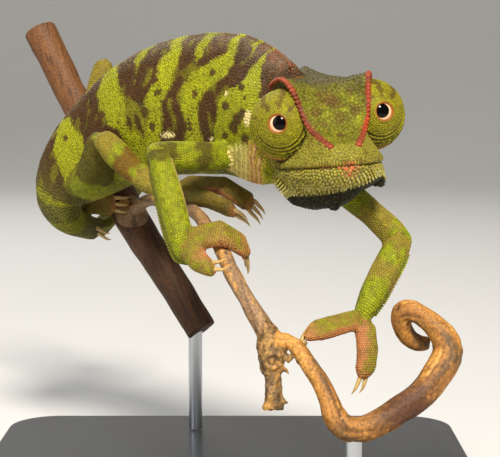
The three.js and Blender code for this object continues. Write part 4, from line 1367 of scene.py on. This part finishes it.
# The beads are brightened by a random amount: a varied tone, plus painted light against the shade under the
# neck.
pleat_colours = np.minimum(pleat_colours * chance.uniform(1.05, 1.45, (len(places), 1)), 1.0)
wear(dome_mesh("scales_neck_pleats", {
    "point": places, "normal": ups, "lie": lies, "colour": pleat_colours,
    "size": np.tile([0.5, 0.46, 0.26], (len(places), 1)),
    "map": np.stack([0.02 + 0.96 * done, np.linspace(0.02, 0.98, len(done))], 1),
}, sides=8, rings=BEAD_RINGS))
print("pleat beads:", len(places))

# %% Rows on the trunk and tail
def stretch_of_spine(start, end):
    """The spine's middle line between two stations, in mm."""
    inside = (STATION >= start) & (STATION <= end)
    return LINE[inside, :3]


TRUNK_PARTS = ("neck", "trunk", "tail_base")
TAIL_PARTS = ("tail_base", "tail_bend", "tail_coil", "tail_coil_inner", "tail_tip")
WHOLE_MAP = ((0.0, 0.0), (1.0, 1.0))
front = rows_round(stretch_of_spine(0.0, 3.2), BODY_STEP, TRUNK_PARTS, WHOLE_MAP, jitter=0.12)
scale_piece("scales_trunk_front", front, vary=0.2, height=0.11)
rear = rows_round(stretch_of_spine(3.2, 8.0), BODY_STEP, TRUNK_PARTS, WHOLE_MAP, jitter=0.12)
scale_piece("scales_trunk_rear", rear, vary=0.2, height=0.11)
tail = rows_round(stretch_of_spine(8.0, 25.0), 0.6, TAIL_PARTS, WHOLE_MAP)
scale_piece("scales_tail", tail, height=0.13)

# %% Rows on the legs and feet
FEET = ("near_fore", "far_fore", "near_hind", "far_hind")
# Each stretch of a leg: its middle line's first and last share, the step, and its strip of the map.
STRETCHES = {
    "_leg_upper": (0.02, 0.98, LEG_STEP, (0.02, 0.28)), "_leg_lower": (0.02, 0.98, LEG_STEP, (0.3, 0.56)),
    "_toes_inner": (0.0, 1.0, TOE_STEP, (0.58, 0.76)), "_toes_outer": (0.0, 1.0, TOE_STEP, (0.78, 0.96)),
}
for foot in FEET:
    found = []
    for stretch, (first, last, step, (low, high)) in STRETCHES.items():
        start, end = centre_line(foot + stretch)
        line = start + (end - start) * np.linspace(first, last, 24)[:, None]
        found.append(rows_round(line, step, (foot + stretch,), ((0.02, low), (0.98, high))))
    scale_piece(f"scales_{foot}", gathered(found), fill=0.58, height=0.13, stretch=0.9)

# %% Grains in every place that the rows left bare
def body_axes(points):
    """Where a point is along and round the body, from 0 to 1."""
    station, height, side = body_place(points)
    return np.clip(station / 25, 0, 1), (np.arctan2(side, height) / (2 * np.pi)) % 1


def grain_step(points):
    """Fine grains on feet and lids, coarser ones elsewhere."""
    fine = np.array(["_toes_" in name or name.startswith("eye") for name in part_of(points)])
    return np.where(fine, 0.5, BODY_STEP)


bare = scattered(tuple(np.unique(part_names)), grain_step, 150000, WHOLE_MAP, body_axes)
scale_piece("scales_between", bare, vary=0.2, height=0.11)

# %% [markdown]
# ### Crests
# A low comb of cones runs down the back from the nape, a longer one hangs under the chin, and each
# forearm has one along its edge. The cones are the same domes, higher than they are wide.

# %% Combs of cones
def comb(name, places, ups, lies, sizes, shade):
    """A row of cones as one mesh."""
    count = len(places)
    roots = {"point": places, "normal": ups, "lie": lies, "size": sizes,
             "colour": colours_at(places, ups, part_of(places)) * shade,
             "map": np.stack([np.linspace(0.02, 0.98, count), np.full(count, 0.99)], 1)}
    wear(dome_mesh(name, roots))
    print(f"{name}: {count} cones")


def back_comb():
    """Cones along the ridge of the back, smaller towards the tail."""
    inside = np.flatnonzero((STATION > 0.2) & (STATION < 9.0))
    line = LINE[inside, :3] + UPWARD[inside] * LINE[inside, 4:5]
    lengths = lengths_along(line)
    at = np.arange(0, lengths[-1], 1.05)
    places = np.array([skin_at(p)[0] for p in points_at(line, lengths, at)])
    ups = points_at(UPWARD[inside], lengths, at)
    rise = 0.62 - 0.35 * at / lengths[-1]
    sizes = np.stack([np.full(len(at), 0.5), np.full(len(at), 0.38), rise], 1)
    lies = np.gradient(places, axis=0)
    comb("scales_back_comb", places, ups, lies, sizes, 1.15)


BELOW_CHIN = -24.0       # mm below the eyes' middle, where rays up to the chin start


def chin_comb():
    """Cones along the middle of the chin and throat."""
    y = np.arange(-13.4, 9.0, 0.95)
    starts = from_head(np.stack([0 * y, y, np.full(len(y), BELOW_CHIN)], 1))
    down = -HEAD_AXES[:, 2]
    hits = [hits_round(start, [-down])[0] for start in starts]
    places = np.array([hit for hit in hits if hit is not None])
    ups, lies, sizes = (np.tile(row, (len(places), 1)) for row in (down, HEAD_AXES[:, 1], [0.42, 0.34, 0.7]))
    comb("scales_chin_comb", places, ups, lies, sizes, 1.2)


def edge_comb(name, line, step, size):
    """Cones along a line that is dropped onto the skin."""
    line = np.array(line)
    lengths = lengths_along(line)
    at = np.arange(0, lengths[-1], step)
    places, ups = (np.array(column) for column in zip(*map(skin_at, points_at(line, lengths, at))))
    comb(name, places, ups, np.gradient(places, axis=0), np.tile(size, (len(at), 1)), 1.3)


back_comb()
chin_comb()
FAR_FOREARM = [[38.5, -22, 57], [36.5, -26, 51.8], [33.5, -29, 48.5], [31, -31, 45.5]]
NEAR_FOREARM = [[-16, -17.5, 71], [-14.5, -21, 65], [-12.6, -25, 58.5], [-10.5, -27.5, 54]]
edge_comb("scales_far_forearm_edge", FAR_FOREARM, 0.66, [0.3, 0.42, 0.55])
edge_comb("scales_near_forearm_edge", NEAR_FOREARM, 0.66, [0.3, 0.42, 0.4])

# %% [markdown]
# ## Skin and scale finish
# Living scale is thin keratin over colour cells: a soft satin with a trace of light passing through.
# Noise varies the painted colour a little, and a fine bump breaks up the highlights.

# %% Material of skin and scales
GRAIN, MOTTLE = 0.25, 1.6        # mm, the finest wrinkles that show, and the size of the mottling


def object_noise(tree, size, detail):
    """Noise over an object's own coordinates, in lumps of about size mm."""
    place = add_node(tree, "ShaderNodeTexCoord")
    return add_node(tree, "ShaderNodeTexNoise", {
        "Vector": place.outputs["Object"], "Scale": 1 / (size * MM), "Detail": detail})


def toned_paint(tree, speckle, darkest, lightest):
    """The painted colours, made darker and lighter by noise."""
    painted = add_node(tree, "ShaderNodeAttribute", attribute_name="paint")
    tone = add_node(tree, "ShaderNodeMapRange", {
        "Value": speckle.outputs["Fac"], "From Min": 0.3, "From Max": 0.7,
        "To Min": darkest, "To Max": lightest})
    varied = add_node(tree, "ShaderNodeVectorMath", {
        0: painted.outputs["Color"], 1: tone.outputs["Result"]}, operation="MULTIPLY")
    return varied.outputs["Vector"]


def scaly_skin(name, roughness):
    """Satin keratin that takes its colour from the painted attribute."""
    material, tree, shader = new_material(
        name, Roughness=roughness, IOR=1.45, Subsurface_Weight=0.06, Subsurface_Scale=0.0008,
        Specular_IOR_Level=0.25)
    varied = toned_paint(tree, object_noise(tree, MOTTLE, 3.0), 0.82, 1.16)
    tree.links.new(varied, shader.inputs["Base Color"])
    wrinkle = object_noise(tree, GRAIN, 2.0)
    bump = add_node(tree, "ShaderNodeBump", {
        "Height": wrinkle.outputs["Fac"], "Strength": 0.25, "Distance": 0.05 * MM})
    tree.links.new(bump.outputs["Normal"], shader.inputs["Normal"])
    return material


scale_keratin = scaly_skin("Satin scale keratin", 0.5)
soft_skin = scaly_skin("Soft skin between scales", 0.6)
for coat in coats:
    coat.data.materials.append(scale_keratin)
skin.data.materials.append(soft_skin)
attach(skin, "root")
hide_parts(*FLESH, *TURRETS.values())
print("coat:", len(coats), "pieces,", sum(len(c.data.polygons) for c in coats), "triangles")

# %% [markdown]
# ## Eyes
# Only a pinhole of the eyeball shows between the fused lids: a black pupil in a thin gold and cream
# ring, under a wet, glassy surface. The ball is a sphere that looks along the gaze, and its rings of
# colour come from the distance to the gaze line.

# %% Eyeballs
PUPIL = 1.48             # mm, radius of the dark middle
IRIS = 2.2               # mm, outer radius of the pale ring
RING_REACH = 2.8         # mm, where the ramp of ring colours ends


def eyeball(side, slip):
    """A glossy ball behind the lids. slip moves the pupil towards the animal's right and up, in mm."""
    gaze = GAZE[side]
    centre = TURRET_CENTRE[side] + gaze * (TURRET_RADIUS + LID_RISE - EYE_DEPTH - EYE_RADIUS)
    pick(skin)
    bpy.ops.mesh.primitive_uv_sphere_add(segments=96, ring_count=64, radius=EYE_RADIUS * MM,
                                         location=Vector(centre) * MM)
    ball = bpy.context.object
    ball.name = f"eye_{side}"
    bpy.ops.object.transform_apply(location=True, rotation=True, scale=True)
    bpy.ops.object.shade_smooth()
    right, above = across_axis(gaze)
    away = corners_of(ball) - centre
    off = np.hypot(away @ right - slip[0], away @ above - slip[1])
    off = np.where(away @ gaze > 0, off, 9.0)
    ring = ball.data.attributes.new("ring", "FLOAT", "POINT")
    ring.data.foreach_set("value", off)
    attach(ball, "root")
    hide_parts(f"eyeball_{side}")
    return ball


cornea, tree, shader = new_material("Wet cornea over a dark pupil", Roughness=0.03, IOR=1.376,
                                    Specular_IOR_Level=0.2)
ring = add_node(tree, "ShaderNodeAttribute", attribute_name="ring")
share = add_node(tree, "ShaderNodeMath", {0: ring.outputs["Fac"], 1: RING_REACH}, operation="DIVIDE")
colour = add_node(tree, "ShaderNodeValToRGB", {"Fac": share.outputs["Value"]})
bands = colour.color_ramp
bands.elements[0].position, bands.elements[0].color = 0.0, linear("#050404")
bands.elements[1].position, bands.elements[1].color = 0.99, linear("#3a1c0c")
RING_COLOURS = [
    (PUPIL - 0.05, "#070505"), (PUPIL + 0.03, "#a8703c"), (PUPIL + 0.12, "#e8c8a4"),
    (IRIS - 0.1, "#d8a47a"), (IRIS + 0.05, "#a04a22"),
]
for at, code in RING_COLOURS:
    stop = bands.elements.new(at / RING_REACH)
    stop.color = linear(code)
tree.links.new(colour.outputs["Color"], shader.inputs["Base Color"])
for side, slip in (("right", (-0.5, 0.2)), ("left", (0.5, 0.2))):
    eyeball(side, slip).data.materials.append(cornea)
print("eyes: pupils", 2 * PUPIL, "mm across")

# %% [markdown]
# ## Claws
# Each claw is a thin hooked cone of horn that grows out of a toe. It could be carved from a cone, but
# a curve with a thickness at each point is simpler: it starts inside the toe, follows the middle of
# the claw's solid and ends at its tip. The same function draws the lengths of wood further down.

# %% Tapered lengths along a curve
def tapered_length(name, rows, steps):
    """A round length along a smooth curve. Each row: x, y, z and the radius there, in mm."""
    _, smooth = curve_through(np.array(rows), steps)
    data = bpy.data.curves.new(name, "CURVE")
    data.dimensions = "3D"
    data.bevel_depth = MM
    data.bevel_resolution = 8
    data.use_fill_caps = True
    spline = data.splines.new("POLY")
    spline.points.add(len(smooth) - 1)
    for point, (x, y, z, radius) in zip(spline.points, smooth):
        point.co = (x * MM, y * MM, z * MM, 1)
        point.radius = radius
    made = bpy.data.objects.new(name, data)
    bpy.context.scene.collection.objects.link(made)
    pick(made)
    bpy.ops.object.convert(target="MESH")
    bpy.ops.object.mode_set(mode="EDIT")
    bpy.ops.mesh.select_all(action="SELECT")
    bpy.ops.mesh.remove_doubles(threshold=1e-7)
    bpy.ops.object.mode_set(mode="OBJECT")
    return made, smooth


# %% Claws
CLAW_RADII = (0.5, 0.46, 0.3, 0.06)      # inside the toe, where it leaves it, half way and at the tip
CLAW_ROOT = 1.1                          # mm of it inside the toe


def claw_rows(name):
    """The middle line of a claw's solid, from inside the toe to the tip."""
    corners = corners_of(NODES[name])
    foot, _, bundle = name.rsplit("_", 1)[0].rpartition("_claw_")
    middle, direction = long_axis(corners)
    direction *= np.sign((middle - middle_of(f"{foot}_toes_{bundle}")) @ direction)
    reach = (corners - middle) @ direction
    share = (reach - reach.min()) / np.ptp(reach)
    stretches = share < 0.2, np.abs(share - 0.5) < 0.2, share > 0.95
    root, half, tip = (corners[near].mean(0) for near in stretches)
    inside = root - CLAW_ROOT * unit(half - root)
    return np.column_stack([[inside, root, half, tip], CLAW_RADII])


horn, tree, shader = new_material("Translucent claw horn", Roughness=0.35, IOR=1.55,
                                  Subsurface_Weight=0.1, Subsurface_Scale=0.0006)
streak = object_noise(tree, 0.8, 2.0)
tint = add_node(tree, "ShaderNodeValToRGB", {"Fac": streak.outputs["Fac"]})
for stop, code in zip(tint.color_ramp.elements, ("#9c7620", "#d2b478")):
    stop.color = linear(code)
tree.links.new(tint.outputs["Color"], shader.inputs["Base Color"])
for foot in FEET:
    mine = [n for n in CLAW_NAMES if n.startswith(foot)]
    claws = [tapered_length(name, claw_rows(name), 8)[0] for name in mine]
    pick(*claws)
    bpy.ops.object.join()
    bpy.ops.object.shade_smooth()
    claws = bpy.context.object
    claws.name = f"claws_{foot}"
    claws.data.materials.append(horn)
    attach(claws, "root")
    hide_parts(*mine)
print("claws:", len(CLAW_NAMES))

# %% [markdown]
# ## Perch
# The perch is dry wood: a smooth dead branch and a thinner twig that forks from a knot, arches down,
# and ends in a tendril's curl. Each length is a curve with a thickness at each point, so its outline
# stays round, and all of them are melted into one. Bark furrows run along the grain, so they need a
# place along and round the nearest curve.

# %% Lengths of wood
# Each row: x, y, z of the middle line and the radius there, in mm, as in the solids.
BRANCH = [[-50.2, 65.9, 106, 4.3], [-41.3, 60.1, 89.1, 4.1], [-33.5, 53.6, 75.2, 4.0], [-25.4, 46.9, 59, 4.4],
          [-15.6, 41, 44.5, 4.0], [-6.9, 36.4, 31.2, 3.9]]
TWIG = [[-24.7, 44, 60.1, 1.7], [-19, 27.4, 64.5, 1.6], [-10.9, 7.4, 65.3, 1.5], [-6.5, -6.9, 64.4, 1.5],
        [-3.8, -19, 62.6, 1.6], [-2, -23.5, 60.6, 1.65], [-0.5, -27.5, 58.4, 1.7], [1, -31, 55.4, 1.75],
        [3.2, -34, 51.7, 1.75], [5.6, -36.5, 47.9, 1.85], [8.4, -38.3, 43.6, 2.2]]
KNOT = [[8.4, -38.2, 44.7, 1.9], [9, -39.2, 41.9, 2.9], [9.3, -39.6, 39, 2.9], [8.8, -39.8, 35.8, 2.0]]
STUB = [[9.5, -39.8, 37.4, 1.9], [9.5, -40.3, 33.1, 1.75], [9.7, -40.8, 28.8, 2.2]]
TENDRIL = [[9.2, -38.8, 41.6, 1.55], [11.5, -39.5, 42.6, 1.5], [13.3, -40.3, 42.2, 1.55],
           [14.8, -41.4, 40.7, 1.7], [16.3, -42.4, 38.6, 1.8], [18.8, -44, 34.9, 1.9],
           [20.3, -45.5, 31.7, 2.05], [21.4, -46.6, 29, 2.4], [23.6, -47, 26.7, 2.6],
           [26.3, -46.8, 26.4, 2.65], [29.2, -46, 27.2, 2.7], [32.9, -44.6, 28.8, 2.8],
           [38.4, -42, 32.1, 2.95], [42.2, -39.3, 36.1, 3.15], [44.2, -37.6, 39.6, 3.15],
           [43.6, -36.8, 42.5, 2.85], [41.9, -36.2, 44.6, 2.45], [39.7, -35.6, 46.4, 2.15],
           [37.4, -34.8, 47.6, 2.2], [35.6, -34, 47.1, 2.25], [35.5, -33.2, 44.7, 2.15],
           [36.7, -32.5, 42.2, 2.0], [38.8, -31.9, 40.7, 1.85], [41.3, -31.5, 40.5, 1.45]]
# Splinters and lobes of bark round the knot and at the torn end of the stub.
LOBES = [
    [[10.9, -40.2, 39.9, 0.79], [12.1, -41, 39.5, 0.79], [13, -41.2, 38.7, 0.63]],
    [[10.3, -40.4, 37.3, 0.79], [11.9, -41.2, 37, 0.69], [12.9, -41.4, 35.6, 0.24]],
    [[7.8, -39.4, 39, 0.89], [7.3, -39.6, 37, 0.59], [7.4, -39.8, 35.4, 0.3]],
    [[9.1, -40.9, 30.8, 0.89], [8, -41.4, 30, 0.63], [7.5, -41.6, 29.4, 0.35]],
    [[10.1, -40.9, 31.2, 0.89], [11.3, -41.2, 30.6, 0.69], [12.3, -41.4, 30.4, 0.3]],
]
BARK = 0.15              # mm, how far furrows and ridges stand off the mean surface
WOOD_VOXEL = 0.34        # mm
WOOD = {"branch": BRANCH, "twig": TWIG, "knot": KNOT, "stub": STUB, "tendril": TENDRIL}
WOOD |= {f"lobe_{k}": rows for k, rows in enumerate(LOBES)}
lengths = [tapered_length(name, np.array(rows) - [0, 0, 0, 0.5 * BARK], 28) for name, rows in WOOD.items()]
pick(*[piece for piece, _ in lengths])
bpy.ops.object.join()
perch = bpy.context.object
perch.name = "perch"
modify(perch, "REMESH", mode="VOXEL", voxel_size=WOOD_VOXEL * MM)
modify(perch, "SMOOTH", factor=0.5, iterations=5)

grain_line = np.vstack([smooth for _, smooth in lengths])
grain_along = np.concatenate([
    100.0 * k + lengths_along(smooth[:, :3]) for k, (_, smooth) in enumerate(lengths)])
wood_points, wood_normals = corners_of(perch), normals_of(perch)
finder = KDTree(len(grain_line))
for i, row in enumerate(grain_line):
    finder.insert(Vector(row[:3]), i)
finder.balance()
nearest = np.array([finder.find(Vector(p))[1] for p in wood_points])
heading = np.vstack([unit(np.gradient(smooth[:, :3], axis=0)) for _, smooth in lengths])[nearest]
out = wood_points - grain_line[nearest, :3]
out = unit(out - heading * (out * heading).sum(1)[:, None])
grain = out * grain_line[nearest, 3:4] + 0.13 * grain_along[nearest, None]
owner = np.repeat(np.arange(len(lengths)), [len(smooth) for _, smooth in lengths])[nearest]
furrow = noise_at(grain, 0.75, 9)
broad_lumps = noise_at(wood_points, 5.0, 10)
SCAR = np.array([9.5, -42.5, 38.9])      # the round scar of a lost side twig
from_scar = np.linalg.norm((wood_points - SCAR) * [1, 0.3, 1.25], axis=1)
from_scar = from_scar * (1 + 0.12 * noise_at(wood_points, 1.5, 16))
scar_rim = np.exp(-((from_scar - 1.75) / 0.4) ** 2)
scar_groove = np.exp(-((from_scar - 1.1) / 0.25) ** 2)
on_branch, on_tendril = owner == 0, owner == 4
knotted = (owner == 2) | (owner == 3) | (owner > 4)
torn = knotted * noise_at(wood_points, 1.3, 11)
crack = np.exp(-(noise_at(wood_points, 1.1, 17) / 0.07) ** 2) * knotted * (from_scar > 1.3)
rough_wood = 1.0 - 0.55 * on_branch
raised = (BARK * (furrow - 0.7 * np.maximum(0, -furrow)) * rough_wood + 0.2 * broad_lumps
          + 0.4 * scar_rim - 0.4 * scar_groove + 0.3 * torn - 0.2 * crack)
move_corners(perch, wood_points + wood_normals * raised[:, None])
bpy.ops.object.shade_smooth()
print("perch:", len(perch.data.polygons), "faces")

# %% Colours of the wood
WOOD_COLOURS = {
    "branch": "#6b4320", "twig": "#8c6c4a", "knot": "#9a7440", "stub": "#80643f", "tendril": "#b07834",
}
BEND_STAIN = np.array([36.0, -44.0, 29.0])        # where the tendril's bark is darkest
STAIN_REACH = 10.0       # mm
CLEAN_ABOVE = 46         # mm, the height above which the twig is hardly weathered


def stained(colours, code, share):
    """Lays a colour over others, as much as share says."""
    share = share[:, None]
    return colours * (1 - share) + np.array(linear(code)[:3]) * share


wood_paint = np.array([linear(code)[:3] for code in WOOD_COLOURS.values()])[np.where(owner > 4, 2, owner)]
height = wood_points[:, 2]
streaks = noise_at(grain, 1.6, 12)
wood_paint = stained(wood_paint, "#8a5420", 0.45 * smoothstep(streaks, 0.0, 0.5) * on_tendril)
wood_paint = wood_paint * (1 + 0.22 * smoothstep(-streaks, 0.05, 0.5))[:, None]
dark = np.maximum(0.75 * smoothstep(-furrow, 0.12, 0.5), np.maximum(0.85 * crack, 0.9 * scar_groove))
wood_paint = stained(wood_paint, "#3e2612", dark)
mottle = noise_at(grain, 2.6, 18) + 0.5 * noise_at(wood_points, 0.8, 19)
bend = np.exp(-(((wood_points - BEND_STAIN) / STAIN_REACH) ** 2).sum(1))
weathered = 0.8 * smoothstep(mottle, 0.0, 0.5) * ~on_branch * np.where(height > CLEAN_ABOVE, 0.15, 1.0)
wood_paint = stained(wood_paint, "#5a4a30", weathered)
wood_paint = stained(wood_paint, "#d0984a", 0.7 * smoothstep(-mottle, 0.25, 0.6) * ~on_branch)
wood_paint = stained(wood_paint, "#54301c", bend * smoothstep(mottle, -0.8, 0.1))
# Painted shade: the branch is darker lower down, where it lies in the shadow of the animal's body.
branch_shade = np.where(on_branch, 0.55 + 0.6 * smoothstep(height, 60, 90), 1.0)
wood_paint = stained(wood_paint * branch_shade[:, None], "#2e1c0c", 0.6 * smoothstep(-torn, 0.05, 0.45))
paint(perch, wood_paint)

wood, tree, shader = new_material("Dry barked twig wood", Roughness=0.62, IOR=1.5, Specular_IOR_Level=0.35)
speckle = object_noise(tree, 0.5, 4.0)
bump = add_node(tree, "ShaderNodeBump", {
    "Height": speckle.outputs["Fac"], "Strength": 0.8, "Distance": 0.14 * MM})
tree.links.new(toned_paint(tree, speckle, 0.55, 1.25), shader.inputs["Base Color"])
tree.links.new(bump.outputs["Normal"], shader.inputs["Normal"])
perch.data.materials.append(wood)
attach(perch, "root")
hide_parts(*sorted(n for n in NODES if n.startswith("perch_")))
print("wood colours:", ", ".join(WOOD_COLOURS))

# %% [markdown]
# ## Stand
# The stand is plain on purpose: a lacquered slab with rounded corners and a small bevel, and two
# straight steel rods. A box with its upright edges rounded first, and the top edge bevelled after,
# gives the slab clean highlights. The rods are cylinders that end inside the wood they carry.

# %% Base and rods
BASE = np.array([112.0, 106.0, 6.0])     # mm
CORNER, EDGE = 12.0, 0.8                 # mm, the radius of a corner and the width of the bevel
pick(perch)
bpy.ops.mesh.primitive_cube_add(size=1, location=sum(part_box("stand_base"), Vector()) / 2)
base = bpy.context.object
base.name = "base"
base.scale = Vector(BASE * MM)
bpy.ops.object.transform_apply(location=True, rotation=True, scale=True)
bpy.ops.object.mode_set(mode="EDIT")
bpy.ops.mesh.select_mode(type="EDGE")
bpy.ops.mesh.select_all(action="DESELECT")
bpy.ops.object.mode_set(mode="OBJECT")
for edge in base.data.edges:
    a, b = (base.data.vertices[i].co for i in edge.vertices)
    edge.select = abs(a.z - b.z) > 0.5 * BASE[2] * MM
bpy.ops.object.mode_set(mode="EDIT")
bpy.ops.mesh.bevel(offset=CORNER * MM, segments=16, affect="EDGES")
bpy.ops.object.mode_set(mode="OBJECT")
modify(base, "BEVEL", width=EDGE * MM, segments=4, limit_method="ANGLE", angle_limit=math.radians(50))
pick(base)
bpy.ops.object.shade_smooth_by_angle(angle=math.radians(35))
lacquer, tree, shader = new_material("Dark satin lacquer", Base_Color=linear("#26282b"), Roughness=0.32,
                                     Coat_Weight=0.3, Coat_Roughness=0.12)
ripple = object_noise(tree, 14, 2.0)
sheen = add_node(tree, "ShaderNodeMapRange", {"Value": ripple.outputs["Fac"], "To Min": 0.28, "To Max": 0.38})
tree.links.new(sheen.outputs["Result"], shader.inputs["Roughness"])
base.data.materials.append(lacquer)
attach(base, "root")
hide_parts("stand_base")

steel, tree, shader = new_material("Brushed steel rod", Base_Color=linear("#b9bcc0"), Metallic=1.0,
                                   Roughness=0.3)
place = add_node(tree, "ShaderNodeTexCoord")
turned = add_node(tree, "ShaderNodeMapping", {"Vector": place.outputs["Object"], "Scale": (1, 1, 12)})
brush = add_node(tree, "ShaderNodeTexNoise", {
    "Vector": turned.outputs["Vector"], "Scale": 1 / (1.5 * MM), "Detail": 2.0})
bump = add_node(tree, "ShaderNodeBump", {
    "Height": brush.outputs["Fac"], "Strength": 0.15, "Distance": 0.02 * MM})
tree.links.new(bump.outputs["Normal"], shader.inputs["Normal"])
ROD_RADIUS, ROD_SINK = 1.7, 1.5          # mm, and how far a rod's top is inside the wood
for name in sorted(n for n in NODES if n.startswith("stand_rod")):
    low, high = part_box(name)
    middle, top = (low + high) / 2, high.z + ROD_SINK * MM
    pick(base)
    bpy.ops.mesh.primitive_cylinder_add(vertices=48, radius=ROD_RADIUS * MM, depth=top - low.z,
                                        location=(middle.x, middle.y, (top + low.z) / 2))
    rod = bpy.context.object
    rod.name = name.replace("stand_", "")
    bpy.ops.object.transform_apply(location=True, rotation=True, scale=True)
    bpy.ops.object.shade_smooth_by_angle(angle=math.radians(35))
    rod.data.materials.append(steel)
    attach(rod, "root")
    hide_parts(name)
print("stand:", "base", BASE.tolist(), "mm, rods", 2 * ROD_RADIUS, "mm thick")
